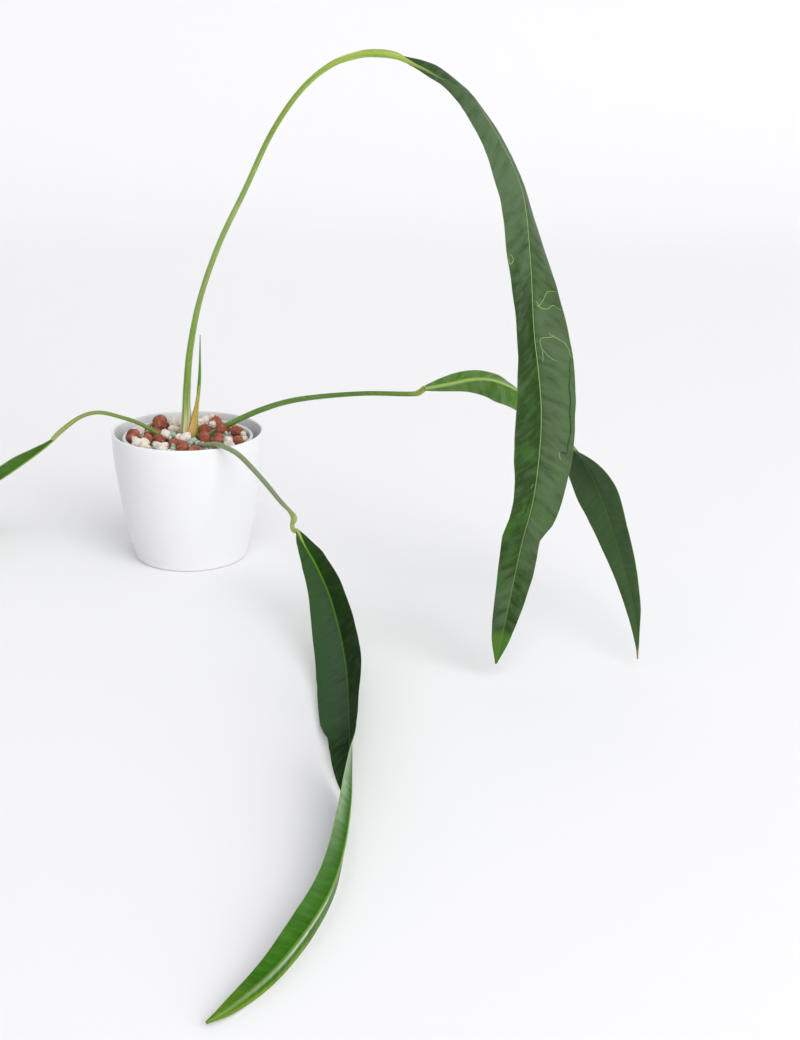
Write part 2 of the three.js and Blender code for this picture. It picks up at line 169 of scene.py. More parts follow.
# Painted shadows in leaf A's creases, drawn as dark lines through places in millimetres along and shares of
# the half width.
CREASE_SHADOWS_A = [
    [(304, 0.89), (310, 0.85), (317, 0.84), (323.5, 0.8), (327.5, 0.8), (334.5, 0.82),
     (344, 0.81), (350.5, 0.84), (360, 0.85), (367.5, 0.81), (376.5, 0.78)],
    [(403, -0.12), (409.5, -0.14), (415.5, -0.19), (422.5, -0.25), (428.5, -0.31), (432.5, -0.49)],
    [(444.5, -0.04), (452, -0.1), (460, -0.14)],
    [(375.5, 0.61), (376.5, 0.72), (376.5, 0.81)],
    [(388.5, -0.2), (390.5, -0.49), (395, -0.69), (403, -0.68)],
]

# The ways that a blade's upper side may face before its turn.
FRONT = Vector((0, -1, 0))
UP = Vector((0, 0, 1))

# Each granule of the top dressing is x, y and radius in millimetres.
CLAY_BALLS = [
    (-34.5, 41.5, 7), (-31, 28.5, 5.4), (-53, -15, 5.2), (-34, 6, 5.6), (-25, -22, 5.4),
    (-37.5, -22.5, 5.6), (1, -49, 5.6), (13.5, -54, 5.4), (19, -16, 5.4), (14, 13, 5.4),
    (22, 50, 5.6), (34, 22, 5.4), (49, 13, 5.2), (33, -23, 5.6), (52.5, -19.5, 5.4),
    (-10, -30, 5.2), (24, 31, 5.2),
]
PUMICE_LUMPS = [
    (-19, 39, 6.6), (-18, 17, 5.2), (-50, 10, 5.2), (-46, -32, 5.2), (-37, -41, 4.8),
    (-18, -53, 5.2), (-1, -17, 6.2), (-24.5, -4.5, 5), (10, 55, 4.8), (5, 43, 5.4),
    (45, -33, 5.2), (57, -4, 3.6), (23, 19.5, 3.2),
]
ZEOLITE_CHIPS = [
    (-12, -13.5, 2.8), (-29.5, -49.5, 2.9), (-26, -42, 3), (-7, -44, 2.8), (14, -39, 2.6),
    (42, -7.5, 3), (27, -9, 2.9), (-20, -34, 3.2), (6.5, -38, 2.9), (-45, -2, 2.8),
]

# A granule stands this many millimetres over the bed, and is this much larger than its CAD lump.
GRANULE_LIFT = 0.3
GRANULE_SWELL = 1.1

# Lumps heaped over the others: x, y, z, radius in millimetres, and 0 for clay, 1 for pumice, 2 for zeolite.
UPPER_LUMPS = [
    (17.5, -9, 126.8, 6.5, 0), (15.2, 13, 128.6, 5.9, 0), (34.2, -5, 135.6, 5.7, 0),
    (32.2, -15, 128.8, 5.2, 0), (48.8, -6, 133.8, 5, 0), (8.6, -25, 128.2, 3.3, 2),
    (14.6, -36, 128.4, 3.1, 2), (6.6, -30, 126.8, 2.6, 2), (18.8, -46, 126.8, 3, 1),
    (-20.4, -17, 131.8, 4.8, 1), (-12.8, -13, 130.4, 3.3, 2), (-15.7, -19, 128.5, 2.8, 2),
    (-7.5, -12, 128.3, 3.4, 0), (-27.2, -13, 125.9, 4.6, 0), (23.3, 16, 132.7, 4.2, 1),
    (40.0, -12, 125.3, 4.2, 2), (-18.4, 30, 130.4, 6.2, 1), (-33.6, 27.5, 128.8, 6.9, 0),
    (14.6, 60, 127.5, 5.6, 1), (19.3, 62, 124.6, 5.6, 0), (-53.4, -9, 127.5, 7, 0),
    (-49.2, -23, 125.8, 4.5, 1), (-39.4, -28.5, 126.5, 5.4, 1), (-26.7, -14.6, 126.5, 5.9, 0),
    (-24, -38.5, 125.5, 5, 1), (-18.5, -38.4, 125.3, 4.8, 1), (0.3, -41.3, 126.2, 6.3, 0),
    (-6.1, -15.1, 127, 5.4, 1), (0.6, -14.6, 127.6, 5.8, 1), (42.8, -20.8, 127, 5.6, 1),
    (39.2, -6.8, 131, 2.7, 2), (55, 5.4, 126, 3.8, 1), (-28.6, -30.4, 125.5, 3, 2),
    (-9.4, -33.9, 125.5, 3, 2), (-9.4, -43.4, 125, 2.2, 2), (17.2, -40.1, 126, 2, 1),
]

# The lumps between the granules, by size: least and most radius in millimetres, and how many radii
# over the bed they lie at least and at most. Each size gets the same number of tries.
FILLER_SIZES = ((3.2, 5.2, -0.2, 0.5), (1.6, 3.2, -0.2, 1.6), (0.9, 1.8, -0.3, 3.0))
FILLER_TRIES = 9000

# The feet of stalk A, the sheath and the rolled leaf, which no lump stands in: x, y and radius.
STALK_FEET = ((0, 0, 7), (3.4, -5.5, 6), (7.6, 6.4, 4))

# Columns of a blade's half, from the midrib to the edge, as shares of its width.
HALF_COLUMNS = [0, 0.02, 0.045, 0.075, 0.11, 0.16, 0.22, 0.29, 0.36, 0.43, 0.5, 0.57, 0.64, 0.71,
                0.78, 0.85, 0.91, 0.955, 0.985, 1]
RINGS_PER_SPAN = 22

# A blade's build in millimetres: half its thickness, the width of its upper line,
# and how high its two sides at least lie over the surface under the plant.
LAMINA_HALF = 0.34
LINE_WIDTH = 0.8
UPPER_REST = 0.9
UNDER_REST = 0.2

# Shares without a unit: how softly the halves meet at the midrib, and how late the blade thins to its edge.
FOLD_SOFTNESS = 0.004
EDGE_POWER = 14

# Side veins lean to the tip by this share of the way out.
VEIN_LEAN = 0.55

# The leaves' colours in millimetres: from vein to vein, how far veins wander, the width and length of
# the threads between them, and how far out the rib's colour can reach. Real threads are under 1 mm wide,
# too fine for the render, so they are drawn as the broad bands that they add up to.
VEIN_SPACING = 7.5
VEIN_WANDER = 7
THREAD_WIDTH = 7.14
THREAD_LENGTH = 16.7
RIB_REACH = 4

# Steps between two guide points of a stalk, and of the thin lines on leaf A.
STALK_STEPS = 10
TRACK_STEPS = 6

# The ring inside the nursery pot's wall that the loose lumps stay in.
BED_RADIUS = 60.6

# How often a lump's ball is divided: the many small ones between the granules have 80 faces each.
GRANULE_DETAIL = 4
GRIT_DETAIL = 2

# The nodes that are used most.
MATH = "ShaderNodeMath"
MIX = "ShaderNodeMix"
RAMP = "ShaderNodeValToRGB"
NOISE = "ShaderNodeTexNoise"
CELLS = "ShaderNodeTexVoronoi"
BUMP = "ShaderNodeBump"
COORDINATES = "ShaderNodeTexCoord"
ATTRIBUTE = "ShaderNodeAttribute"
TO_VECTOR = "ShaderNodeCombineXYZ"
NAMED = "GeometryNodeInputNamedAttribute"
IN_COLOUR = {"data_type": "RGBA", "out": 2}


def colour(code):
    """An sRGB hex colour as linear red, green, blue and alpha."""
    shares = [int(code[i:i + 2], 16) / 255 for i in (1, 3, 5)]
    linear = [c / 12.92 if c <= 0.04045 else ((c + 0.055) / 1.055) ** 2.4 for c in shares]
    return (*linear, 1.0)


def per_metre(size):
    """The scale of a pattern on object coordinates whose marks are this many millimetres wide."""
    return 1 / (size * MM)


def set_sockets(node, sockets):
    """Gives a node's sockets their links, hex colours or plain values."""
    for key, value in sockets.items():
        socket = node.inputs[key]
        if isinstance(value, bpy.types.NodeSocket):
            node.id_data.links.new(value, socket)
        elif str(value).startswith("#"):
            socket.default_value = colour(value)
        else:
            socket.default_value = value


def add(tree, kind, sockets=None, stops=(), out=0, **settings):
    """Adds a node with its settings, stops and sockets. Gives one output, or the node where out is None."""
    made = tree.nodes.new(kind)
    for name, value in settings.items():
        setattr(made, name, value)
    for _ in stops[2:]:
        made.color_ramp.elements.new(0.5)
    for number, (place, tone) in enumerate(stops):
        element = made.color_ramp.elements[number]
        element.position = place
        element.color = colour(tone) if isinstance(tone, str) else (tone, tone, tone, 1)
    set_sockets(made, sockets or {})
    return made if out is None else made.outputs[out]


def new_finish(name):
    """A material with one shader: the material, the way to add its nodes, and that shader."""
    material = bpy.data.materials.new(name)
    material.use_nodes = True
    return material, partial(add, material.node_tree), material.node_tree.nodes["Principled BSDF"]


def new_tree(name, inputs, output):
    """A geometry node tree with named inputs: the tree, the way to add its nodes, and its inputs."""
    tree = bpy.data.node_groups.new(name, "GeometryNodeTree")
    for label, kind, value in inputs:
        socket = tree.interface.new_socket(label, in_out="INPUT", socket_type="NodeSocket" + kind)
        if value is not None:
            socket.default_value = value
    tree.interface.new_socket(output, in_out="OUTPUT", socket_type="NodeSocketGeometry")
    node = partial(add, tree)
    return tree, node, node("NodeGroupInput", out=None).outputs


def finished(piece, nodes, slot, *materials):
    """Puts a piece on the body in place of its CAD nodes, with its materials."""
    for material in materials:
        piece.data.materials.append(material)
    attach(piece, "root")
    if nodes:
        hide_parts(*nodes)
    return piece


def piece_of(name, mesh):
    piece = bpy.data.objects.new(name, mesh)
    bpy.context.scene.collection.objects.link(piece)
    return piece


def set_points(mesh, **values):
    """Gives each point of a mesh its own number under each name."""
    for name, numbers in values.items():
        layer = mesh.attributes.new(name, "FLOAT", "POINT")
        layer.data.foreach_set("value", np.asarray(numbers, np.float32))


def curve_through(points, spans):
    """Place and slope of the uniform Catmull-Rom curve through the points, at each number of spans."""
    points = np.asarray(points, float)
    padded = np.vstack([2 * points[0] - points[1], points, 2 * points[-1] - points[-2]])
    index = np.clip(np.floor(spans).astype(int), 0, len(points) - 2)
    w = (spans - index)[:, None]
    p0, p1, p2, p3 = (padded[index + k] for k in range(4))
    m1, m2 = (p2 - p0) / 2, (p3 - p1) / 2
    place = ((2 * w**3 - 3 * w**2 + 1) * p1 + (w**3 - 2 * w**2 + w) * m1
             + (3 * w**2 - 2 * w**3) * p2 + (w**3 - w**2) * m2)
    slope = ((6 * w**2 - 6 * w) * p1 + (3 * w**2 - 4 * w + 1) * m1
             + (6 * w - 6 * w**2) * p2 + (3 * w**2 - 2 * w) * m2)
    return place, slope


def even_spans(guide, steps):
    """Numbers of spans from a guide's start to its end, with this many steps to a span."""
    return np.linspace(0, len(guide) - 1, (len(guide) - 1) * steps + 1)


def distances(places):
    """How far along a row of places each one is."""
    return np.concatenate([[0], np.cumsum(np.linalg.norm(np.diff(places, axis=0), axis=1))])


def unit(rows):
    return rows / np.linalg.norm(rows, axis=-1, keepdims=True)


def turned_about(rows, axes, degrees):
    """Turns each row about its own axis, which is at right angles to it."""
    angle = np.radians(degrees)[:, None]
    return rows * np.cos(angle) + np.cross(axes, rows) * np.sin(angle)


def bell(distance, width):
    return np.exp(-((distance / width) ** 2))


def eased(share):
    return share * share * (3 - 2 * share)


def outwards(mesh):
    """Turns a closed mesh's faces to point out."""
    work = bmesh.new()
    work.from_mesh(mesh)
    bmesh.ops.recalc_face_normals(work, faces=work.faces)
    if work.calc_volume(signed=True) < 0:
        bmesh.ops.reverse_faces(work, faces=work.faces)
    work.to_mesh(mesh)
    work.free()


def blade_sheet(guide, facing, looks, columns):
    """A blade's middle sheet as a grid of places.

    Gives the grid, the way that it faces there, its half widths, and how far along its guide each row is."""
    spans = even_spans(guide, RINGS_PER_SPAN)
    centre, slope = curve_through([p[:3] for p in guide], spans)
    state, _ = curve_through([p[3:] for p in guide], spans)
    width, turn, fold = state[:, 0], state[:, 1], np.radians(state[:, 2])[:, None]
    tangent = unit(slope)
    face = np.tile(np.array(facing, float), (len(spans), 1))
    face = unit(face - tangent * np.sum(face * tangent, axis=1, keepdims=True))
    face = turned_about(face, tangent, turn)
    across = np.cross(face, tangent)
    along = distances(centre)[:, None]
    part = along / along[-1]
    soft = np.sqrt(columns**2 + FOLD_SOFTNESS) - math.sqrt(FOLD_SOFTNESS)
    half_width = width[:, None] * (1 + looks["edge"](along, np.sign(columns)))
    out = columns * half_width * np.cos(fold)
    raised = soft / soft.max() * half_width * np.sin(fold) + looks["lift"](along, part, columns, half_width)
    sheet = centre[:, None] + across[:, None] * out[..., None] + face[:, None] * raised[..., None]
    normal = unit(np.cross(np.gradient(sheet, axis=1), np.gradient(sheet, axis=0)))
    normal *= np.sign(np.sum(normal * face[:, None], axis=2, keepdims=True).mean())
    return sheet, normal, half_width, along, part


def grid_skin(rows, count):
    """Faces of a blade's two sides, which share their edge points, and of the caps at both ends."""
    top = np.arange(rows * count).reshape(rows, count)
    low = top.copy()
    low[:, 1:-1] = rows * count + np.arange(rows * (count - 2)).reshape(rows, count - 2)
    sides = []
    for grid, order in ((top, (0, 1, 2, 3)), (low, (0, 3, 2, 1))):
        corners = grid[:-1, :-1], grid[:-1, 1:], grid[1:, 1:], grid[1:, :-1]
        sides.append(np.stack([corners[k] for k in order], -1).reshape(-1, 4).tolist())
    caps = []
    for row, flip in ((0, False), (rows - 1, True)):
        for j in range(count - 1):
            quad = [int(q) for q in (top[row, j], low[row, j], low[row, j + 1], top[row, j + 1])]
            quad = list(dict.fromkeys(quad))
            caps.append(quad[::-1] if flip else quad)
    return sides[0], sides[1] + caps


def blade_mesh(name, guide, facing, looks):
    """A closed thin blade with a raised rib along its guide, and its upper side as a grid.

    Faces with material 0 are the upper side, and those with 1 the underside."""
    columns = np.array([-c for c in HALF_COLUMNS[:0:-1]] + HALF_COLUMNS)
    sheet, normal, half_width, along, part = blade_sheet(guide, facing, looks, columns)
    signed = columns * half_width
    away = np.abs(signed)
    fade = 1 - 0.75 * part
    rib = looks["rib"] * fade * bell(away, looks["rib_width"] * (1 - 0.5 * part))
    line = looks["line"] * fade * bell(away, LINE_WIDTH)
    thinned = np.sqrt(np.clip(1 - np.abs(columns) ** EDGE_POWER, 0, 1))
    upper = sheet + normal * ((LAMINA_HALF + line) * thinned)[..., None]
    under = sheet - normal * ((LAMINA_HALF + rib) * thinned)[..., None]
    upper[..., 2] = np.maximum(upper[..., 2], UPPER_REST)
    under[..., 2] = np.maximum(under[..., 2], UNDER_REST)
    upper_faces, under_faces = grid_skin(*signed.shape)
    points = np.vstack([upper.reshape(-1, 3), under[:, 1:-1].reshape(-1, 3)]) * MM
    mesh = bpy.data.meshes.new(name)
    mesh.from_pydata(points.tolist(), [], upper_faces + under_faces)
    sides = [0] * len(upper_faces) + [1] * len(under_faces)
    mesh.polygons.foreach_set("material_index", sides)
    mesh.polygons.foreach_set("use_smooth", [True] * len(sides))
    grids = {"across": signed, "share": columns + 0 * signed,
             "along": along + 0 * signed, "part": part + 0 * signed}
    set_points(mesh, **{key: np.concatenate([grid.reshape(-1), grid[:, 1:-1].reshape(-1)])
                        for key, grid in grids.items()})
    outwards(mesh)
    return mesh, (along[:, 0], columns, upper)


def on_blade(surface, along_at, share_at):
    """The point of a blade's upper side at a distance along it and a share of its half width."""
    along, columns, upper = surface
    row = np.interp(along_at, along, np.arange(len(along)))
    column = np.interp(share_at, columns, np.arange(len(columns)))
    i, j = min(int(row), len(along) - 2), min(int(column), len(columns) - 2)
    a, b = row - i, column - j
    near = (1 - b) * upper[i, j] + b * upper[i, j + 1]
    far = (1 - b) * upper[i + 1, j] + b * upper[i + 1, j + 1]
    return (1 - a) * near + a * far


def uneven(seed, *parts):
    """A smooth irregular course along the blade, each half with its own: pairs of height and usual length."""
    count = 600
    knots = np.random.default_rng(seed).uniform(-1, 1, (len(parts), 2, count))

    def height(along, side):
        total = 0 * (along + side)
        for row, (amplitude, length) in zip(knots, parts):
            place = np.clip(along / length, 0, count - 2)
            index = place.astype(int)
            share = eased(place - index)
            for half, own in ((0, side <= 0), (1, side > 0)):
                course = row[half][index] * (1 - share) + row[half][index + 1] * share
                total = total + amplitude * course * own
        return total
    return height


def outline_of(table, trim):
    """How much wider or narrower than its guide a blade's two edges are, with a small irregular trim."""
    along_at, left, right = np.array(table, float).T

    def reach(along, side):
        wide = np.where(side > 0, np.interp(along, along_at, right), np.interp(along, along_at, left))
        return wide - 1 + trim(along, side)
    return reach


def leaf_looks(ripple, edge, veins=0.08, spacing=9.0, camber=0.05, rib=1.9, rib_width=1.7, line=0.28):
    """How one blade's surface differs from the plain fold: ripples at the edge, side veins and camber."""
    def lift(along, part, u, half_width):
        size = np.abs(u)
        ends = np.clip(np.minimum(part, 1 - part) * 8, 0, 1)
        rippled = ripple(along, np.sign(u)) * size**1.8
        arched = camber * half_width * np.sin(math.pi * size)
        swing = 2 * math.pi * (along - VEIN_LEAN * size * half_width) / spacing
        return (rippled + arched + veins * np.sin(swing) * np.sin(math.pi * size) ** 0.7) * ends
    return {"lift": lift, "edge": edge, "rib": rib, "rib_width": rib_width, "line": line}


def stalk_tree():
    """Geometry nodes that sweep a grooved round section along a guide with a radius at each point."""
    tree, node, given = new_tree("stalk_sweep", (
        ("Guide", "Geometry", None), ("Sides", "Int", 28), ("Groove", "Float", 0.12),
        ("Groove turn", "Float", 0.25), ("Bumps", "Float", 0.0001), ("Bump size", "Float", 90.0),
        ("Skin", "Material", None)), "Stalk")
    line = node("GeometryNodeMeshToCurve", {"Mesh": given["Guide"]})
    ring = node("GeometryNodeCurvePrimitiveCircle", {"Resolution": given["Sides"], "Radius": 1.0})
    ring_turn = node("GeometryNodeSplineParameter", out="Factor")
    ring = node("GeometryNodeStoreNamedAttribute", {"Geometry": ring, "Name": "turn", "Value": ring_turn},
                data_type="FLOAT", domain="POINT")
    turn = node(NAMED, {"Name": "turn"}, data_type="FLOAT")
    off = node(MATH, {0: turn, 1: given["Groove turn"]}, operation="SUBTRACT")
    far = node(MATH, {0: off, 1: 10.0}, operation="MULTIPLY")
    square = node(MATH, {0: far, 1: far}, operation="MULTIPLY")
    fall = node(MATH, {0: square, 1: -1.0}, operation="MULTIPLY")
    dip = node(MATH, {0: math.e, 1: fall}, operation="POWER")
    depth = node(MATH, {0: dip, 1: given["Groove"]}, operation="MULTIPLY")
    keep = node(MATH, {0: 1.0, 1: depth}, operation="SUBTRACT")
    place = node("GeometryNodeInputPosition")
    pulled = node("ShaderNodeVectorMath", {0: place, "Scale": keep}, operation="SCALE")
    section = node("GeometryNodeSetPosition", {"Geometry": ring, "Position": pulled})
    radius = node(NAMED, {"Name": "radius"}, data_type="FLOAT")
    swept = node("GeometryNodeCurveToMesh",
                 {"Curve": line, "Profile Curve": section, "Scale": radius, "Fill Caps": True})
    rough = node(NOISE, {"Scale": given["Bump size"], "Detail": 2.0})
    around = node(MATH, {0: rough, 1: 0.5}, operation="SUBTRACT")
    amount = node(MATH, {0: around, 1: given["Bumps"]}, operation="MULTIPLY")
    normal = node("GeometryNodeInputNormal")
    shift = node("ShaderNodeVectorMath", {0: normal, "Scale": amount}, operation="SCALE")
    moved = node("GeometryNodeSetPosition", {"Geometry": swept, "Offset": shift})
    smooth = node("GeometryNodeSetShadeSmooth", {"Geometry": moved})
    real = node("GeometryNodeRealizeInstances", {"Geometry": smooth})
    skinned = node("GeometryNodeSetMaterial", {"Geometry": real, "Material": given["Skin"]})
    node("NodeGroupOutput", {"Stalk": skinned}, out=None)
    return tree


def filler_tree():
    """Geometry nodes that set a lump on each point of a cloud, by its own size, turned at random."""
    tree, node, given = new_tree("filler_scatter", (
        ("Places", "Geometry", None), ("Lump", "Object", None), ("Seed", "Int", 5),
        ("Skin", "Material", None)), "Lumps")
    size = node(NAMED, {"Name": "size"}, data_type="FLOAT")
    lump = node("GeometryNodeObjectInfo", {"Object": given["Lump"]}, out="Geometry")
    turn = node("FunctionNodeRandomValue", {"Seed": given["Seed"], "Max": (6.28, 6.28, 6.28)},
                data_type="FLOAT_VECTOR")
    as_turn = node("FunctionNodeEulerToRotation", {"Euler": turn})
    points = node("GeometryNodeMeshToPoints", {"Mesh": given["Places"]})
    placed = node("GeometryNodeInstanceOnPoints",
                  {"Points": points, "Instance": lump, "Rotation": as_turn, "Scale": size})
    real = node("GeometryNodeRealizeInstances", {"Geometry": placed})
    smooth = node("GeometryNodeSetShadeSmooth", {"Geometry": real})
    skinned = node("GeometryNodeSetMaterial", {"Geometry": smooth, "Material": given["Skin"]})
    node("NodeGroupOutput", {"Lumps": skinned}, out=None)
    return tree


def keep_result(piece, modifier):
    """Keeps what a piece's modifier makes as its plain mesh, and takes the modifier off."""
    graph = bpy.context.evaluated_depsgraph_get()
    graph.update()
    mesh = bpy.data.meshes.new_from_object(piece.evaluated_get(graph), preserve_all_data_layers=True,
                                           depsgraph=graph)
    mesh.materials.clear()
    piece.modifiers.remove(modifier)
    piece.data = mesh


def baked(piece, tree, **inputs):
    """Runs geometry nodes on a piece and keeps the result as its plain mesh."""
    modifier = piece.modifiers.new("shape", "NODES")
    modifier.node_group = tree
    for item in tree.interface.items_tree:
        key = item.name.replace(" ", "_")
        if item.in_out == "INPUT" and key in inputs:
            modifier[item.identifier] = inputs[key]
    keep_result(piece, modifier)


def stalk(name, guide, node_name, slot, skin, tree, groove=0.12, groove_turn=0.25, bumps=0.12, swell=()):
    """One stalk: a line along its guide, swept. A swell is a place along it, a height and a reach."""
    spans = even_spans(guide, STALK_STEPS)
    rows, _ = curve_through(guide, spans)
    along = distances(rows[:, :3])
    radius = rows[:, 3].copy()
    if swell:
        at, height, reach = swell
        radius += height * bell(along - at, reach)
    mesh = bpy.data.meshes.new(name)
    mesh.from_pydata((rows[:, :3] * MM).tolist(), [(i, i + 1) for i in range(len(spans) - 1)], [])
    set_points(mesh, radius=radius * MM, along=along, part=along / along[-1])
    piece = piece_of(name, mesh)
    baked(piece, tree, Groove=groove, Groove_turn=groove_turn, Bumps=bumps * MM, Skin=skin)
    outwards(piece.data)
    finished(piece, [node_name], slot, skin)


def strips(name, surface, lines, radius, bumps, skin, tree):
    """Thin raised lines that lie on a blade and taper to both ends, as one piece."""
    points, edges, sizes = [], [], []
    for line in lines:
        spans = even_spans(line, TRACK_STEPS)
        places, _ = curve_through(line, spans)
        edges += [(len(points) + k, len(points) + k + 1) for k in range(len(places) - 1)]
        for share, (along_at, share_at) in zip(spans / spans[-1], places):
            points.append((on_blade(surface, along_at, share_at) * MM).tolist())
            sizes.append(radius * MM * (0.35 + 0.65 * math.sin(math.pi * min(max(share, 0), 1)) ** 0.5))
    mesh = bpy.data.meshes.new(name)
    mesh.from_pydata(points, edges, [])
    set_points(mesh, radius=sizes)
    piece = piece_of(name, mesh)
    baked(piece, tree, Sides=8, Groove=0.0, Bumps=bumps * MM, Bump_size=900.0, Skin=skin)
    outwards(piece.data)
    finished(piece, [], "leaf_blade", skin)


def turned_mesh(name, profile, sides=160):
    """Turns a closed outline of radius and height in millimetres about the pot's axis."""
    rows = np.asarray(profile, float)
    angle = np.arange(sides) * 2 * math.pi / sides
    verts, rings = [], []
    for radius, height in rows:
        if radius == 0:
            rings.append([len(verts)] * sides)
            verts.append((0, 0, height * MM))
        else:
            rings.append(list(range(len(verts), len(verts) + sides)))
            verts.extend((radius * MM * math.cos(t), radius * MM * math.sin(t), height * MM) for t in angle)
    faces = []
    for low, high in zip(rings, rings[1:]):
        for i in range(sides):
            j = (i + 1) % sides
            quad = list(dict.fromkeys((low[i], low[j], high[j], high[i])))
            if len(quad) > 2:
                faces.append(quad)
    mesh = bpy.data.meshes.new(name)
    mesh.from_pydata(verts, [], faces)
    mesh.polygons.foreach_set("use_smooth", [True] * len(mesh.polygons))
    outwards(mesh)
    return mesh


def arc(centre_r, centre_z, radius, start, end, count=8):
    """Points of an arc of an outline, from one angle to another in degrees."""
    angles = np.radians(np.linspace(start, end, count))
    return [(centre_r + radius * math.cos(t), centre_z + radius * math.sin(t)) for t in angles]


def pot_radius(z):
    return BASE_RADIUS + (RIM_RADIUS - BASE_RADIUS) * (1 - (1 - z / POT_HEIGHT) ** POT_BELLY)


def outer_pot_mesh():
    """The cachepot: a tapered, slightly bellied wall with a rounded rim, on its foot's outer ring."""
    foot, rim, hollow, ring, corner = 2.5, POT_WALL / 2, 0.6, 5, 4
    outline = [(0, hollow), (BASE_RADIUS - ring - 2, hollow), (BASE_RADIUS - ring - 1, hollow / 4),
               (BASE_RADIUS - ring, 0)]
    outline += arc(pot_radius(foot) - foot, foot, foot, -88, -6)
    outline += [(pot_radius(z), z) for z in np.linspace(foot, POT_HEIGHT - rim, 40)]
    outline += arc(RIM_RADIUS - rim, POT_HEIGHT - rim, rim, 12, 168, 12)
    outline += [(pot_radius(z) - POT_WALL, z) for z in np.linspace(POT_HEIGHT - rim, POT_FLOOR + corner, 30)]
    inner = pot_radius(POT_FLOOR + corner) - POT_WALL
    outline += arc(inner - corner, POT_FLOOR + corner, corner, -8, -88)
    outline += [(inner - corner - 2, POT_FLOOR), (0, POT_FLOOR)]
    return turned_mesh("cachepot", outline)


def grow_pot_mesh():
    """The thin nursery pot with its rolled lip, whose edge is rounded by 0.7 mm."""
    lip, top, wall, base, edge = GROW_POT_LIP_RADIUS, GROW_POT_RIM_Z, GROW_POT_WALL, GROW_POT_BASE_RADIUS, 0.7
    floor_z, lip_low = POT_FLOOR + 0.3, GROW_POT_RIM_Z - LIP_HEIGHT

    def outer(z):
        return base + (GROW_POT_TOP_RADIUS - base) * (z - floor_z) / (lip_low - floor_z)
    outline = [(0, floor_z), (base - 2, floor_z)]
    outline += arc(base - 1, floor_z + 1, 1, -80, -5, 5)
    outline += [(outer(z), z) for z in np.linspace(floor_z + 2, lip_low, 24)]
    outline += [(lip - 0.3, lip_low), (lip, lip_low + 0.4), (lip, top - edge - 0.1)]
    outline += arc(lip - edge, top - edge, edge, 10, 90, 5)
    outline += [(GROW_POT_TOP_RADIUS - wall + 0.5, top), (GROW_POT_TOP_RADIUS - wall, top - 0.5)]
    outline += [(outer(z) - wall, z) for z in np.linspace(lip_low, floor_z + wall + 0.5, 24)]
    outline += [(base - wall - 1, floor_z + wall), (0, floor_z + wall)]
    return turned_mesh("nursery_pot", outline, 128)


def drained(piece):
    """Cuts the round drain holes through the nursery pot's floor."""
    work = bmesh.new()
    for number in range(DRAIN_COUNT):
        angle = 2 * math.pi * number / DRAIN_COUNT
        place = Vector((DRAIN_RING * math.cos(angle), DRAIN_RING * math.sin(angle), POT_FLOOR)) * MM
        bmesh.ops.create_cone(work, cap_ends=True, segments=40, radius1=DRAIN_RADIUS * MM,
                              radius2=DRAIN_RADIUS * MM, depth=2 * POT_FLOOR * MM,
                              matrix=Matrix.Translation(place))
    mesh = bpy.data.meshes.new("drills")
    work.to_mesh(mesh)
    work.free()
    drills = piece_of("drills", mesh)
    cut = piece.modifiers.new("holes", "BOOLEAN")
    cut.object, cut.operation, cut.solver = drills, "DIFFERENCE", "EXACT"
    keep_result(piece, cut)
    bpy.data.objects.remove(drills)
    return piece


def lump_mesh(name, seed, radius, detail, rough, pits=0.0, facets=0.0):
    """A closed granule: a ball pushed in and out by several scales of noise, with pits or flat facets."""
    work = bmesh.new()
    bmesh.ops.create_icosphere(work, subdivisions=detail, radius=1.0)
    luck = random.Random(seed)
    offset = Vector((luck.uniform(-40, 40), luck.uniform(-40, 40), luck.uniform(-40, 40)))
    cuts = []
    for _ in range(9):
        axis = Vector((luck.gauss(0, 1), luck.gauss(0, 1), luck.gauss(0, 1))).normalized()
        cuts.append((axis, luck.uniform(0.72, 0.95)))
    for vert in work.verts:
        way = vert.co.normalized()
        size = 1.0
        for share, scale in ((1, 1.3), (0.45, 3.1), (0.22, 7.3)):
            size += share * rough * noise.noise(way * scale + offset)
        for share, scale, reach in ((1, 6.5, 0.32), (0.5, 13, 0.3)) if pits else ():
            near = noise.voronoi(way * scale + offset)[0][0]
            size -= share * pits * max(0.0, reach - near)
        spot = way * size
        for axis, reach in cuts if facets else ():
            over = spot.dot(axis) - reach
            if over > 0:
                spot -= axis * over * facets
        vert.co = spot * radius
    for face in work.faces:
        face.smooth = True
    mesh = bpy.data.meshes.new(name)
    work.to_mesh(mesh)
    work.free()
    return mesh


def set_granules(prefix, node_prefix, places, slot, skin, **shape):
    """One detailed granule for each of the CAD's flat-sided ones, in the same place."""
    for number, (x, y, radius) in enumerate(places, 1):
        full = radius * GRANULE_SWELL * MM
        mesh = lump_mesh(f"{prefix}_{number:02d}", f"{prefix}{number}", full, GRANULE_DETAIL, **shape)
        low = min(v.co.z for v in mesh.vertices)
        mesh.transform(Matrix.Translation(Vector((x * MM, y * MM, (BED_TOP + GRANULE_LIFT) * MM - low))))
        piece = piece_of(f"{prefix}_{number:02d}", mesh)
        finished(piece, [f"{node_prefix}_{number:02d}"], slot, skin)


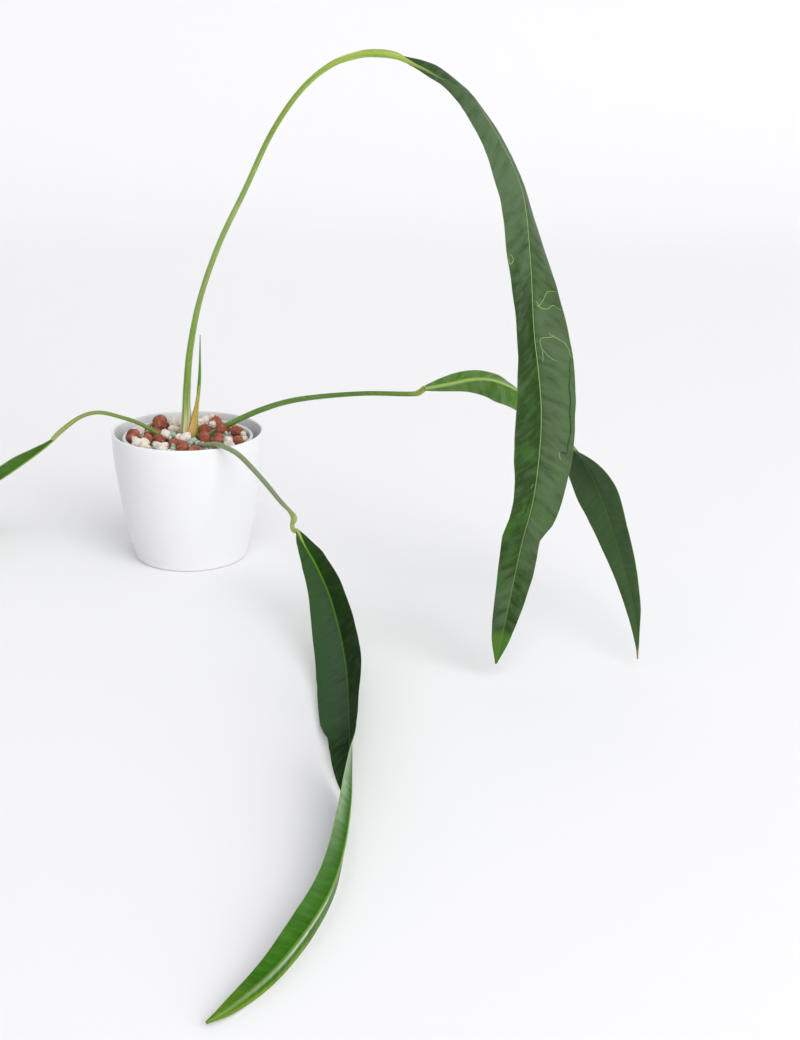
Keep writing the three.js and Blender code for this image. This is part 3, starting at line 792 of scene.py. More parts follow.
def filler_places():
    """Places of the smaller lumps between the named granules: x, y, z, radius and kind, in millimetres."""
    luck = random.Random(71)
    taken = [(x, y, BED_TOP + r, r) for x, y, r in CLAY_BALLS + PUMICE_LUMPS + ZEOLITE_CHIPS]
    for guide in (STALK_B, STALK_C, STALK_D):
        points, _ = curve_through([p[:3] for p in guide], np.linspace(0, 3.5, 40))
        taken += [(*p, 2.9) for p in points.tolist()]
    taken += [lump[:4] for lump in UPPER_LUMPS]
    found = []
    for low, high, least, most in FILLER_SIZES:
        for _ in range(FILLER_TRIES):
            radius = luck.uniform(low, high)
            angle, out = luck.uniform(0, 2 * math.pi), (BED_RADIUS - radius) * math.sqrt(luck.random())
            x, y = out * math.cos(angle), out * math.sin(angle)
            z = BED_TOP + radius * luck.uniform(least, most)
            if any(math.hypot(x - kx, y - ky) < kr + radius * 0.8 for kx, ky, kr in STALK_FEET):
                continue
            if all(math.dist((x, y, z), (a, b, c)) > 0.93 * (radius + r) for a, b, c, r in taken):
                taken.append((x, y, z, radius))
                found.append((x, y, z, radius, luck.choice((0, 0, 1, 1, 2, 2))))
    return found


def add_filler(name, places, lump, seed, tree, slot, skin):
    """One piece of many loose lumps, all from one model that is set at each place and turned."""
    mesh = bpy.data.meshes.new(name)
    mesh.from_pydata([(x * MM, y * MM, z * MM) for x, y, z, _, _ in places], [], [])
    set_points(mesh, size=[r * MM for _, _, _, r, _ in places])
    piece = piece_of(name, mesh)
    model = piece_of(name + "_lump", lump)
    baked(piece, tree, Lump=model, Seed=seed, Skin=skin)
    bpy.data.objects.remove(model)
    finished(piece, [], slot, skin)


def pot_finish():
    """Injection-moulded polypropylene, satin white: even, with a faint mould texture and handling marks.

    The real texture is finer than a pixel, so it is drawn at 0.7 mm."""
    material, node, shader = new_finish("satin_white_polypropylene")
    place = node(COORDINATES, out="Object")
    texture = node(NOISE, {"Vector": place, "Scale": per_metre(0.714), "Detail": 3.0, "Roughness": 0.6})
    marks = node(NOISE, {"Vector": place, "Scale": per_metre(45.5), "Detail": 3.0, "Roughness": 0.5})
    set_sockets(shader, {
        "IOR": 1.49, "Subsurface Weight": 0.25, "Subsurface Radius": (0.004, 0.004, 0.004),
        "Subsurface Scale": 1.0,
        "Base Color": node(MIX, {0: marks, 6: "#e9e9eb", 7: "#e6e6e8"}, **IN_COLOUR),
        "Roughness": node(MATH, {0: marks, 1: 0.12, 2: 0.28}, operation="MULTIPLY_ADD"),
        "Normal": node(BUMP, {"Height": texture, "Strength": 0.05, "Distance": 0.0002})})
    return material


def clouded_finish():
    """Thin clouded polypropylene of a nursery pot: milky, lets a little light by, with upright scuffs."""
    material, node, shader = new_finish("clouded_polypropylene")
    width, height = per_metre(3.33), per_metre(55.6)
    place = node(COORDINATES, out="Object")
    upright = node("ShaderNodeMapping", {"Vector": place, "Scale": (width, width, height)})
    scuffs = node(NOISE, {"Vector": upright, "Scale": 1.0, "Detail": 4.0})
    set_sockets(shader, {
        "IOR": 1.49, "Roughness": 0.42, "Transmission Weight": 0.2,
        "Base Color": node(RAMP, {0: scuffs}, [(0.3, "#e2e3e3"), (0.6, "#f3f3f4"), (0.8, "#fbfbfb")]),
        "Normal": node(BUMP, {"Height": scuffs, "Strength": 0.15, "Distance": 0.0003})})
    return material


def bed_finish():
    """Packed mineral mix: brown, grey and cream grains of 2 to 3 mm, with painted shade in the gaps between
    them.
    """
    material, node, shader = new_finish("packed_mineral_mix")
    place = node(COORDINATES, out="Object")
    grains = node(CELLS, {"Vector": place, "Scale": per_metre(2.63)}, out=None).outputs
    luck = node("ShaderNodeSeparateColor", {"Color": grains["Color"]})
    tone = node(RAMP, {0: luck}, [(0.0, "#54423a"), (0.35, "#7a5a4a"), (0.6, "#8f857a"), (0.9, "#b9ad9c")])
    # Painted shade in the gaps between the grains, darker where the bump is low.
    gap_shade = node(RAMP, {0: grains["Distance"]}, [(0.35, 1.0), (0.7, 0.25)])
    height = node(MATH, {0: 1.0, 1: grains["Distance"]}, operation="SUBTRACT")
    set_sockets(shader, {
        "Roughness": 0.95,
        "Base Color": node(MIX, {0: 1.0, 6: tone, 7: gap_shade}, blend_type="MULTIPLY", **IN_COLOUR),
        "Normal": node(BUMP, {"Height": height, "Strength": 0.8, "Distance": 0.002})})
    return material


def clay_finish():
    """Fired expanded clay: dull brick red, browner where scorched, with pale dust, and painted shade in its
    holes and pores.
    """
    material, node, shader = new_finish("fired_red_clay")
    place = node(COORDINATES, out="Object")
    tones, scorch, dust, pores = (
        node(NOISE, {"Vector": place, "Scale": per_metre(size), "Detail": detail, "Roughness": rough})
        for size, detail, rough in ((6.67, 4.0, 0.6), (14.3, 1.0, 0.5), (2.38, 2.0, 0.5), (1.11, 3.0, 0.6)))
    # Dark spots in the holes are painted shade.
    holes = node(CELLS, {"Vector": place, "Scale": per_metre(3.85)})
    body = node(RAMP, {0: tones}, [(0.25, "#7a3b29"), (0.5, "#a45a42"), (0.72, "#c3826a")])
    for pattern, stops, tone in ((scorch, [(0.4, 0.0), (0.62, 0.75)], "#7c3d29"),
                                 (dust, [(0.62, 0.0), (0.7, 0.65)], "#cf9f88"),
                                 (holes, [(0.1, 0.9), (0.17, 0.0)], "#2f1a14")):
        body = node(MIX, {0: node(RAMP, {0: pattern}, stops), 6: body, 7: tone}, **IN_COLOUR)
    # Painted shade in the pores, darker where the bump is low.
    darker = node(RAMP, {0: pores}, [(0.3, 0.35), (0.42, 1.0)])
    set_sockets(shader, {
        "Roughness": 0.92, "IOR": 1.5,
        "Base Color": node(MIX, {0: 1.0, 6: body, 7: darker}, blend_type="MULTIPLY", **IN_COLOUR),
        "Normal": node(BUMP, {"Height": pores, "Strength": 0.6, "Distance": 0.0006})})
    return material


def pumice_finish():
    """Pumice, a natural stone foam: chalky off-white, with painted grey-beige shade in its bubbles of about
    1.5 mm.
    """
    material, node, shader = new_finish("chalky_pumice")
    place = node(COORDINATES, out="Object")
    bubbles = node(CELLS, {"Vector": place, "Scale": per_metre(1.54)})
    tones = node(NOISE, {"Vector": place, "Scale": per_metre(6.25), "Detail": 4.0, "Roughness": 0.6})
    body = node(RAMP, {0: tones}, [(0.3, "#d4c3b4"), (0.5, "#e9ddd2"), (0.75, "#f6f0ea")])
    # Painted shade in the bubbles, darker where the bump is low.
    hollow = node(RAMP, {0: bubbles}, [(0.08, 0.45), (0.3, 1.0)])
    set_sockets(shader, {
        "Roughness": 0.97,
        "Base Color": node(MIX, {0: 1.0, 6: body, 7: hollow}, blend_type="MULTIPLY", **IN_COLOUR),
        "Normal": node(BUMP, {"Height": bubbles, "Strength": 0.7, "Distance": 0.0008})})
    return material


def toned_finish(name, roughness, tones, size, grain, bump):
    """A dull natural surface of three tones in patches of one size, with a finer grain in its relief."""
    material, node, shader = new_finish(name)
    place = node(COORDINATES, out="Object")
    patches, grains = (
        node(NOISE, {"Vector": place, "Scale": per_metre(width), "Detail": detail, "Roughness": 0.6})
        for width, detail in ((size, 4.0), (grain, 3.0)))
    set_sockets(shader, {"Roughness": roughness, "Base Color": node(RAMP, {0: patches}, tones),
                         "Normal": node(BUMP, {"Height": grains, "Strength": bump[0], "Distance": bump[1]})})
    return material


def stalk_finish(name, stops, fleck, streak, bands=()):
    """A living leaf stalk's waxy skin: colour runs along it, with lengthwise streaks and small pale flecks.

    A band is a line along it: its colour, where round the stalk it lies and its half width, both as shares of
    a turn, and how strong it is over the stalk's first 100 mm."""
    material, node, shader = new_finish(name)
    part, turn, along = (node(ATTRIBUTE, attribute_name=key, out="Fac") for key in ("part", "turn", "along"))
    streaks_at, flecks_at = (
        node(TO_VECTOR, {0: node(MATH, {0: along, 1: 1 / length}, operation="MULTIPLY"),
                         1: node(MATH, {0: turn, 1: around}, operation="MULTIPLY")})
        for length, around in ((33.3, 22.0), (1.82, 9.0)))
    streaks = node(NOISE, {"Vector": streaks_at, "Scale": 1.0, "Detail": 3.0})
    flecks = node(CELLS, {"Vector": flecks_at, "Scale": 1.0})
    body = node(RAMP, {0: part}, stops)
    for pattern, by_pattern, tone in ((streaks, [(0.45, 0.0), (0.65, 0.8)], streak),
                                      (flecks, [(0.09, 0.8), (0.18, 0.0)], fleck)):
        body = node(MIX, {0: node(RAMP, {0: pattern}, by_pattern), 6: body, 7: tone}, **IN_COLOUR)
    for band, turn_at, half_width, by_along in bands:
        off = node(MATH, {0: turn, 1: turn_at}, operation="SUBTRACT")
        off = node(MATH, {0: off}, operation="ABSOLUTE")
        off = node(MATH, {0: off, 1: half_width}, operation="DIVIDE")
        line = node(RAMP, {0: off}, [(0.3, 0.9), (1.0, 0.0)])
        reach = node(RAMP, {0: node(MATH, {0: along, 1: 100.0}, operation="DIVIDE")}, by_along)
        broken_up = node(MATH, {0: streaks, 1: 1.2, 2: 0.3}, operation="MULTIPLY_ADD")
        amount = node(MATH, {0: line, 1: reach}, operation="MULTIPLY")
        amount = node(MATH, {0: amount, 1: broken_up}, operation="MULTIPLY")
        body = node(MIX, {0: amount, 6: body, 7: band}, **IN_COLOUR)
    set_sockets(shader, {
        "IOR": 1.45, "Roughness": 0.42, "Subsurface Weight": 0.08, "Subsurface Radius": (0.002, 0.003, 0.001),
        "Base Color": body, "Normal": node(BUMP, {"Height": streaks, "Strength": 0.25, "Distance": 0.0004})})
    return material


def leaf_marks(node):
    """What a leaf's colours follow: its own measures, and the rows and threads of its leaning side veins."""
    place = node(COORDINATES, out="Object")
    across, along, share, part = (node(ATTRIBUTE, attribute_name=key, out="Fac")
                                  for key in ("across", "along", "share", "part"))
    away = node(MATH, {0: across}, operation="ABSOLUTE")
    lean = node(MATH, {0: away, 1: -VEIN_LEAN, 2: along}, operation="MULTIPLY_ADD")
    wobble = node(NOISE, {"Vector": place, "Scale": per_metre(22.2), "Detail": 2.0, "Roughness": 0.5})
    course = node(MATH, {0: wobble, 1: VEIN_WANDER, 2: lean}, operation="MULTIPLY_ADD")
    swing = node(MATH, {0: course, 1: 2 * math.pi / VEIN_SPACING}, operation="MULTIPLY")
    thread = node(TO_VECTOR, {0: node(MATH, {0: course, 1: 1 / THREAD_WIDTH}, operation="MULTIPLY"),
                              1: node(MATH, {0: across, 1: 1 / THREAD_LENGTH}, operation="MULTIPLY")})
    return SimpleNamespace(
        place=place, across=across, away=away, share=share, part=part,
        side=node(MATH, {0: share, 1: 0.5, 2: 0.5}, operation="MULTIPLY_ADD"),
        veins=node(MATH, {0: swing}, operation="SINE"),
        threads=node(NOISE, {"Vector": thread, "Scale": 1.0, "Detail": 3.0}))


def with_painted_sheen(node, marks, body, painted_sheen, left, right, glint_breakup):
    """Lays a painted pale sheen on the blade's two halves, each by its own stops, broken up by the threads
    into painted glints.
    """
    half = node(RAMP, {0: marks.side}, [(0.46, 0.0), (0.58, 1.0)])
    amount = node(MIX, {0: half, 2: node(RAMP, {0: marks.part}, left), 3: node(RAMP, {0: marks.part}, right)})
    patches = node(MATH, {0: marks.threads, 1: 0.5}, operation="SUBTRACT")
    amount = node(MATH, {0: patches, 1: glint_breakup, 2: amount}, operation="MULTIPLY_ADD")
    return node(MIX, {0: node("ShaderNodeClamp", {0: amount}), 6: body, 7: painted_sheen}, **IN_COLOUR)


def with_tint_and_sheen(node, marks, body, tint_and_sheen, by_part, by_side):
    """Lays a patch of colour on one stretch of the blade, by its length and from its left edge to its right.
    Some patches are the leaf's own tints; the greyer ones are painted sheen.
    """
    where = node(MATH, {0: node(RAMP, {0: marks.part}, by_part), 1: node(RAMP, {0: marks.side}, by_side)},
                 operation="MULTIPLY")
    broken_up = node(MATH, {0: marks.threads, 1: 1.6, 2: 0.2}, operation="MULTIPLY_ADD")
    amount = node(MATH, {0: where, 1: broken_up}, operation="MULTIPLY")
    return node(MIX, {0: amount, 6: body, 7: tint_and_sheen}, **IN_COLOUR)


def ribbed(node, marks, body, rib, half, fade, gap, taper, groove_shadow):
    """Draws the rib, which fades to the tip, and a painted groove shadow as a darker line on its right where
    it has one.

    Half its width is in millimetres. Fade is where it starts to, and taper how much it thins."""
    fading = node(RAMP, {0: marks.part}, [(fade, 1.0), (min(fade + 0.4, 1), 0.2)])
    if gap:
        fading = node(MATH, {0: fading, 1: node(RAMP, {0: marks.part}, gap)}, operation="MULTIPLY")
    # Painted shadow of the rib's groove: a dark line beside the rib.
    if groove_shadow:
        off = node(MATH, {0: marks.across, 1: 1.9 * half}, operation="SUBTRACT")
        off = node(MATH, {0: off}, operation="ABSOLUTE")
        line = node(RAMP, {0: off}, [(0.0, 0.8), (half, 0.6), (min(1.6 * half, 1), 0.0)])
        line = node(MATH, {0: line, 1: fading}, operation="MULTIPLY")
        body = node(MIX, {0: line, 6: body, 7: groove_shadow}, **IN_COLOUR)
    thinned = node(MATH, {0: marks.part, 1: taper, 2: 1.0}, operation="MULTIPLY_ADD")
    thinned = node(MATH, {0: marks.away, 1: thinned}, operation="MULTIPLY")
    near = node(MATH, {0: thinned, 1: 1 / RIB_REACH}, operation="MULTIPLY")
    near = node(RAMP, {0: near}, [(0.8 * half / RIB_REACH, 0.9), (1.6 * half / RIB_REACH, 0.0)])
    near = node(MATH, {0: near, 1: fading}, operation="MULTIPLY")
    return node(MIX, {0: near, 6: body, 7: rib}, **IN_COLOUR)


def leaf_finish(name, greens, rib, gloss, level, rib_half=0.5, rib_fade=0.55, rib_gap=(), rib_taper=0.0,
                groove_shadow=None, painted_sheen=(), glint_breakup=0.0, painted_glints=None, tints_and_sheens=(), edge=None, edge_from=0.965,
                tip=None, tip_from=0.93):
    """One side of a living, leathery blade: cloudy green with side veins, painted sheen and glints, its own
    tints, tip, rib with a painted groove shadow, and edge line.
    """
    material, node, shader = new_finish(name)
    base, shade, vein = greens
    marks = leaf_marks(node)
    clouds = node(NOISE, {"Vector": marks.place, "Scale": per_metre(41.7), "Detail": 4.0, "Roughness": 0.55})
    body = node(MIX, {0: node(RAMP, {0: clouds}, [(0.38, 0.0), (0.66, 1.0)]), 6: base, 7: shade}, **IN_COLOUR)
    # Painted sheen: a pale wash where the lamps' light would gleam on the blade.
    if painted_sheen:
        body = with_painted_sheen(node, marks, body, *painted_sheen, glint_breakup)
    for pattern, stops in ((marks.threads, [(0.4, 0.0), (0.7, 0.3)]),
                           (marks.veins, [(0.86, 0.0), (1.0, 0.3)])):
        body = node(MIX, {0: node(RAMP, {0: pattern}, stops), 6: body, 7: vein}, **IN_COLOUR)
    # Painted glints: brighter green patches over the blade's lower part, where its ripples would catch the
    # light.
    if painted_glints:
        glint_spots = node(NOISE, {"Vector": marks.place, "Scale": per_metre(26.3), "Detail": 3.0,
                             "Roughness": 0.6})
        glint_spots = node(RAMP, {0: glint_spots}, [(0.5, 0.0), (0.68, 0.6)])
        lower = node(RAMP, {0: marks.part}, [(0.5, 0.0), (0.7, 1.0), (0.97, 1.0), (1.0, 0.4)])
        amount = node(MATH, {0: glint_spots, 1: lower}, operation="MULTIPLY")
        body = node(MIX, {0: amount, 6: body, 7: painted_glints}, **IN_COLOUR)
    # The blade's own tints and its painted sheen, one patch each.
    for tint_and_sheen in tints_and_sheens:
        body = with_tint_and_sheen(node, marks, body, *tint_and_sheen)
    if tip:
        torn = node(NOISE, {"Vector": marks.place, "Scale": per_metre(7.7), "Detail": 3.0, "Roughness": 0.6})
        torn = node(MATH, {0: torn, 1: 0.02, 2: marks.part}, operation="MULTIPLY_ADD")
        reached = node(RAMP, {0: torn}, [(tip_from, 0.0), (min(tip_from + 0.012, 1), 1.0)])
        body = node(MIX, {0: reached, 6: body, 7: tip}, **IN_COLOUR)
    body = ribbed(node, marks, body, rib, rib_half, rib_fade, rib_gap, rib_taper, groove_shadow)
    if edge:
        rim = node(RAMP, {0: node(MATH, {0: marks.share}, operation="ABSOLUTE")},
                   [(edge_from, 0.0), (edge_from + 0.015, 0.7)])
        body = node(MIX, {0: rim, 6: body, 7: edge}, **IN_COLOUR)
    rows = node(MATH, {0: marks.veins, 1: 0.2}, operation="MULTIPLY")
    relief = node(MATH, {0: marks.threads, 1: 0.7, 2: rows}, operation="MULTIPLY_ADD")
    set_sockets(shader, {"IOR": 1.45, "Roughness": gloss, "Specular IOR Level": level, "Base Color": body,
                         "Normal": node(BUMP, {"Height": relief, "Strength": 0.35, "Distance": 0.0009})})
    return material


def scar_and_crease_shadow_finish(name, pale, dark):
    """A thin line on the leaf's skin, mottled at 2 mm: a dry, corky healed line where pale, a painted crease
    shadow where dark.
    """
    material, node, shader = new_finish(name)
    mottle = node(NOISE, {"Vector": node(COORDINATES, out="Object"), "Scale": per_metre(2), "Detail": 3.0,
                          "Roughness": 0.6})
    set_sockets(shader, {"Roughness": 0.65, "Specular IOR Level": 0.3,
                         "Base Color": node(MIX, {0: mottle, 6: dark, 7: pale}, **IN_COLOUR)})
    return material


def sheath_finish():
    """A drying leaf sheath, papery: tan at its foot, yellow-green where it still lives, one edge brown."""
    material, node, shader = new_finish("dry_sheath_paper")
    part, share = (node(ATTRIBUTE, attribute_name=key, out="Fac") for key in ("part", "share"))
    fibres = node(NOISE, {"Vector": node(COORDINATES, out="Object"), "Scale": per_metre(3.13), "Detail": 3.0,
                          "Roughness": 0.6})
    other_side = node(MATH, {0: share, 1: -1.0}, operation="MULTIPLY")
    body = node(RAMP, {0: part}, [(0.0, "#deb480"), (0.25, "#d3a665"), (0.5, "#a89a44"), (0.85, "#8f9a36"),
                                  (1.0, "#86983a")])
    for pattern, stops, tone in ((other_side, [(0.35, 0.0), (0.7, 0.8)], "#b3bd3c"),
                                 (fibres, [(0.4, 0.0), (0.7, 0.45)], "#d0a25e"),
                                 (share, [(0.72, 0.0), (0.95, 0.8)], "#6d4a2f")):
        body = node(MIX, {0: node(RAMP, {0: pattern}, stops), 6: body, 7: tone}, **IN_COLOUR)
    set_sockets(shader, {"Roughness": 0.7, "IOR": 1.45, "Base Color": body,
                         "Normal": node(BUMP, {"Height": fibres, "Strength": 0.4, "Distance": 0.0004})})
    return material


def set_camera():
    """A camera a little above the plant, as far away as the ellipses of the pot's rim and foot say."""
    lens = bpy.data.cameras.new("camera")
    lens.sensor_width, lens.lens = 36, 51.92
    lens.clip_start, lens.clip_end = 0.05, 60
    camera = bpy.data.objects.new("camera", lens)
    bpy.context.scene.collection.objects.link(camera)
    looks_down, leans = math.radians(19.234), math.radians(0.963)
    camera.matrix_world = (Matrix.Translation((0.2156, -1.4581, 0.5480))
                           @ Matrix.Rotation(math.pi / 2 - looks_down, 4, "X")
                           @ Matrix.Rotation(leans, 4, "Z"))
    bpy.context.scene.camera = camera


def set_lights():
    """Soft daylight from a large window at the front right, with a wide dim sun over it and a pale room."""
    window = bpy.data.lights.new("soft_window", "AREA")
    window.shape, window.size, window.size_y, window.energy = "RECTANGLE", 2.4, 2.6, 70
    overhead = bpy.data.lights.new("overhead", "SUN")
    overhead.angle, overhead.energy = math.radians(50), 1.12
    for lamp, place in ((window, (2.5, -2.68, 1.16)), (overhead, (0.9, -1.78, 2.32))):
        holder = bpy.data.objects.new(lamp.name, lamp)
        bpy.context.scene.collection.objects.link(holder)
        holder.location = place
        aim = Vector((0.1, -0.2, 0.2)) - Vector(place)
        holder.rotation_euler = aim.to_track_quat("-Z", "Y").to_euler()
    world = bpy.data.worlds.new("studio")
    world.use_nodes = True
    set_sockets(world.node_tree.nodes["Background"], {"Color": (1, 1, 1, 1), "Strength": 0.6})
    bpy.context.scene.world = world
    bpy.context.scene.view_settings.view_transform = "Standard"


def set_floor():
    """A pale matt floor that curves up into a pale wall far behind."""
    reach, back, bend, height, steps = 30.0, 3.2, 1.2, 5.0, 12
    profile = [(-reach, 0.0), (back - bend, 0.0)]
    for step in range(1, steps + 1):
        angle = math.pi / 2 * step / steps
        profile.append((back - bend + bend * math.sin(angle), bend * (1 - math.cos(angle))))
    profile.append((back, height))
    verts = [(x, y, z) for y, z in profile for x in (-reach, reach)]
    faces = [(2 * i, 2 * i + 1, 2 * i + 3, 2 * i + 2) for i in range(len(profile) - 1)]
    mesh = bpy.data.meshes.new("studio_floor")
    mesh.from_pydata(verts, [], faces)
    mesh.polygons.foreach_set("use_smooth", [True] * len(faces))
    floor = piece_of("studio_floor", mesh)
    material, _, shader = new_finish("matt_white_sweep")
    set_sockets(shader, {"Roughness": 0.9, "Base Color": "#eeeef0"})
    mesh.materials.append(material)


def set_pots_and_bed():
    """The two pots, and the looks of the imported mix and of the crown, which keep their CAD meshes."""
    finished(piece_of("cachepot", outer_pot_mesh()), ["outer_pot"], "white_plastic", pot_finish())
    nursery_pot = drained(piece_of("nursery_pot", grow_pot_mesh()))
    finished(nursery_pot, ["grow_pot"], "clouded_plastic", clouded_finish())
    # The short stem and its roots: dry brown bark below, green-tan skin above.
    bark = toned_finish("stem_bark", 0.85, [(0.3, "#5e4a34"), (0.55, "#8b7350"), (0.8, "#a99a6c")],
                        size=4.55, grain=1.43, bump=(0.6, 0.0006))
    for node_name, finish in (("substrate_bed", bed_finish()), ("crown_and_roots", bark)):
        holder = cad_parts[node_name]
        holder.data.materials.clear()
        holder.data.materials.append(finish)


def set_top_dressing():
    """The named granules, and the loose lumps between and over them."""
    clay, pumice = clay_finish(), pumice_finish()
    # Zeolite, a broken mint-green stone with a powdery face.
    zeolite = toned_finish("mint_zeolite", 0.9, [(0.3, "#93aa9a"), (0.5, "#aec4b3"), (0.75, "#cbdacc")],
                           size=3.85, grain=0.91, bump=(0.5, 0.0004))
    set_granules("ball", "clay_ball", CLAY_BALLS, "fired_clay", clay, rough=0.1, pits=0.3)
    set_granules("foam_lump", "pumice_lump", PUMICE_LUMPS, "pumice", pumice, rough=0.3, pits=0.5, facets=0.7)
    set_granules("mint_chip", "zeolite_chip", ZEOLITE_CHIPS, "zeolite", zeolite, rough=0.28, facets=0.9)
    scatter, filler = filler_tree(), filler_places()
    kinds = (("clay", "fired_clay", clay, {"rough": 0.12, "pits": 0.25}),
             ("pumice", "pumice", pumice, {"rough": 0.34, "pits": 0.4, "facets": 0.7}),
             ("zeolite", "zeolite", zeolite, {"rough": 0.3, "facets": 0.9}))
    for kind, (name, slot, skin, shape) in enumerate(kinds):
        for use, places, detail in (("grit", filler, GRIT_DETAIL), ("heap", UPPER_LUMPS, GRANULE_DETAIL)):
            lump = lump_mesh(f"{name}_{use}_model", f"{name}_{use}", 1.0, detail, **shape)
            own = [place for place in places if place[4] == kind]
            add_filler(f"{name}_{use}", own, lump, 5 + kind, scatter, slot, skin)


def set_stalks(sweep):
    """The four stalks and the new rolled leaf, each with its own skin's colours from its foot to its end."""
    # Pale and pinkish where it leaves the mix, then fresh green, with painted shadow in its groove and two
    # darker sides.
    pale = stalk_finish(
        "pale_stalk_skin",
        [(0, "#f1dcca"), (0.02, "#e3d1b0"), (0.06, "#b4bd78"), (0.1, "#80a03f"), (0.2, "#7d9b3a"),
         (0.34, "#91a75b"), (0.52, "#9ab062"), (0.64, "#86a036"), (0.82, "#a9bf50"), (0.91, "#a3b84a"),
         (0.95, "#7f9a3c"), (1, "#4f7a30")], "#dfe0b8", "#6f8f3c",
        # The first band is painted shadow in the groove, which lies at 0.36 of the way round.
        [("#2f4d18", 0.355, 0.035, [(0.0, 0.3), (0.12, 1), (0.55, 0.9), (0.75, 0)]),
         ("#e9e6d2", 0.27, 0.045, [(0.0, 0.9), (0.3, 0.8), (0.42, 0)]),
         ("#55802f", 0.17, 0.03, [(0.0, 0.0), (0.1, 0.8), (0.5, 0.7), (0.9, 0)]),
         ("#5b862f", 0.03, 0.045, [(0.0, 0.2), (0.1, 0.9), (0.6, 0.7), (1, 0.2)])])
    stalk("stalk_a", STALK_A + STALK_A_END, "petiole_a", "leaf_stalk", pale, sweep,
          groove=0.25, groove_turn=0.36, bumps=0.25, swell=(0, 2.4, 20))
    # Even mid green, yellow at the knob before the blade.
    bright = stalk_finish(
        "bright_stalk_skin",
        [(0, "#6d8f3c"), (0.3, "#62863a"), (0.7, "#567a26"), (0.93, "#6a8c2c"), (0.965, "#a3b23c"),
         (1, "#93a83c")], "#dfe4c6", "#4f7226")
    stalk("stalk_b", STALK_B, "petiole_b", "leaf_stalk", bright, sweep)
    # Dusty grey-green, yellow-green from the knob on.
    grey = stalk_finish(
        "grey_green_stalk_skin",
        [(0, "#8e9c78"), (0.35, "#84936c"), (0.75, "#7c8b63"), (0.82, "#97a852"), (0.93, "#8fa544"),
         (1, "#5f8f28")], "#d5d8bf", "#6c7f58")
    stalk("stalk_c", STALK_C, "petiole_c", "leaf_stalk", grey, sweep)
    # Olive with brown flecks, paler and drier towards its blade.
    olive = stalk_finish(
        "olive_stalk_skin",
        [(0, "#55752c"), (0.3, "#6a8632"), (0.5, "#869847"), (0.75, "#98a353"), (1, "#a9ad68")],
        "#a48a55", "#55732b")
    stalk("stalk_d", STALK_D, "petiole_d", "leaf_stalk", olive, sweep)
    # A rolled leaf's tender skin, pale at its foot and deep green at its point.
    rolled = stalk_finish("rolled_leaf_skin",
                          [(0, "#a9b84c"), (0.3, "#86a834"), (0.55, "#5f9422"), (1, "#47781c")],
                          "#8fae5a", "#43741c")
    stalk("rolled_leaf", SPEAR, "new_leaf_spear", "new_leaf", rolled, sweep,
          groove=0.3, bumps=0.05, swell=(55, 0.5, 22))


def leaf_a_face():
    """The long hanging leaf's upper side: velvety, so it shows no gloss of its own; a pale sheen is painted
    over its deep green, with painted glints and a painted shadow beside its rib.
    """
    return leaf_finish(
        "velvety_leaf_face", ("#233b0c", "#1d330a", "#3c5b34"), "#83a25c", 0.42, 0.16, rib_half=0.42,
        rib_gap=[(0, 1), (0.04, 0.9), (0.06, 0.1), (0.14, 0.1), (0.17, 1)], groove_shadow="#1d3413", glint_breakup=2.4,
        painted_sheen=("#475a3a", [(0.0, 0.6), (0.3, 0.95), (0.46, 0.0), (0.82, 0.0), (0.89, 0.8), (1, 0.2)],
               [(0.0, 0.3), (0.35, 0.6), (0.5, 0.9), (0.8, 0.9), (0.89, 0.05), (1, 0.2)]),
        painted_glints="#35611b", edge="#557238", edge_from=0.975, tip="#3f6420", tip_from=0.955,
        # The grey patch on the upper left half is painted sheen.
        tints_and_sheens=[("#586d4e", [(0.1, 0.4), (0.27, 0.6), (0.4, 0.3), (0.48, 0)],
                [(0.0, 0.6), (0.48, 0.6), (0.5, 0)])])


def leaf_c_face():
    """The trailing leaf's upper side, in its own shade of green: almost black velvet with a painted sheen on
    its left half.
    """
    return leaf_finish(
        "dark_velvety_leaf_face", ("#22371a", "#1b2d13", "#294122"), "#55881f", 0.78, 0.03,
        rib_half=1.1, rib_fade=0.15, rib_taper=2.2, edge="#3f5a2c", edge_from=0.98, glint_breakup=1.6,
        painted_sheen=("#485f48", [(0, 0.5), (0.2, 0.9), (0.42, 0.8), (0.47, 0.1)], [(0, 0.0), (1, 0.0)]),
        tints_and_sheens=[("#2f5426", [(0, 0.5), (0.42, 0.7), (0.5, 0.2)], [(0.0, 0.9), (0.2, 0.6), (0.34, 0.0)]),
               ("#33521c", [(0, 0.8), (0.12, 0.4), (0.3, 0)], [(0.5, 0.6), (1.0, 0.6)])])


def leaf_c_back():
    """The trailing leaf's underside: smooth and waxy, with pale gleams of light painted on it, and a
    yellow-green edge.
    """
    return leaf_finish(
        "hanging_leaf_back", ("#2c5f07", "#224e05", "#477a20"), "#86a356", 0.33, 0.1,
        rib_half=0.55, edge="#6f9c3c", edge_from=0.97,
        # The two pale patches first are painted sheen; the two green ones after are the leaf's own tints.
        tints_and_sheens=[("#b4c0a6", [(0.5, 0.6), (0.62, 1), (0.85, 0.9), (0.93, 0.3), (1, 0.2)],
                [(0.31, 0.0), (0.36, 1), (0.47, 1), (0.5, 0.0)]),
               ("#8fa681", [(0.5, 1), (0.62, 0.85), (0.76, 0.1), (1, 0.0)],
                [(0.6, 0.0), (0.8, 0.6), (1.0, 0.8)]),
               ("#7a8f26", [(0.76, 0), (0.9, 0.8)], [(0.0, 0.9), (0.13, 0.7), (0.2, 0.0)]),
               ("#5c7a20", [(0.93, 0), (1, 0.9)], [(0.0, 1), (1, 1)])])


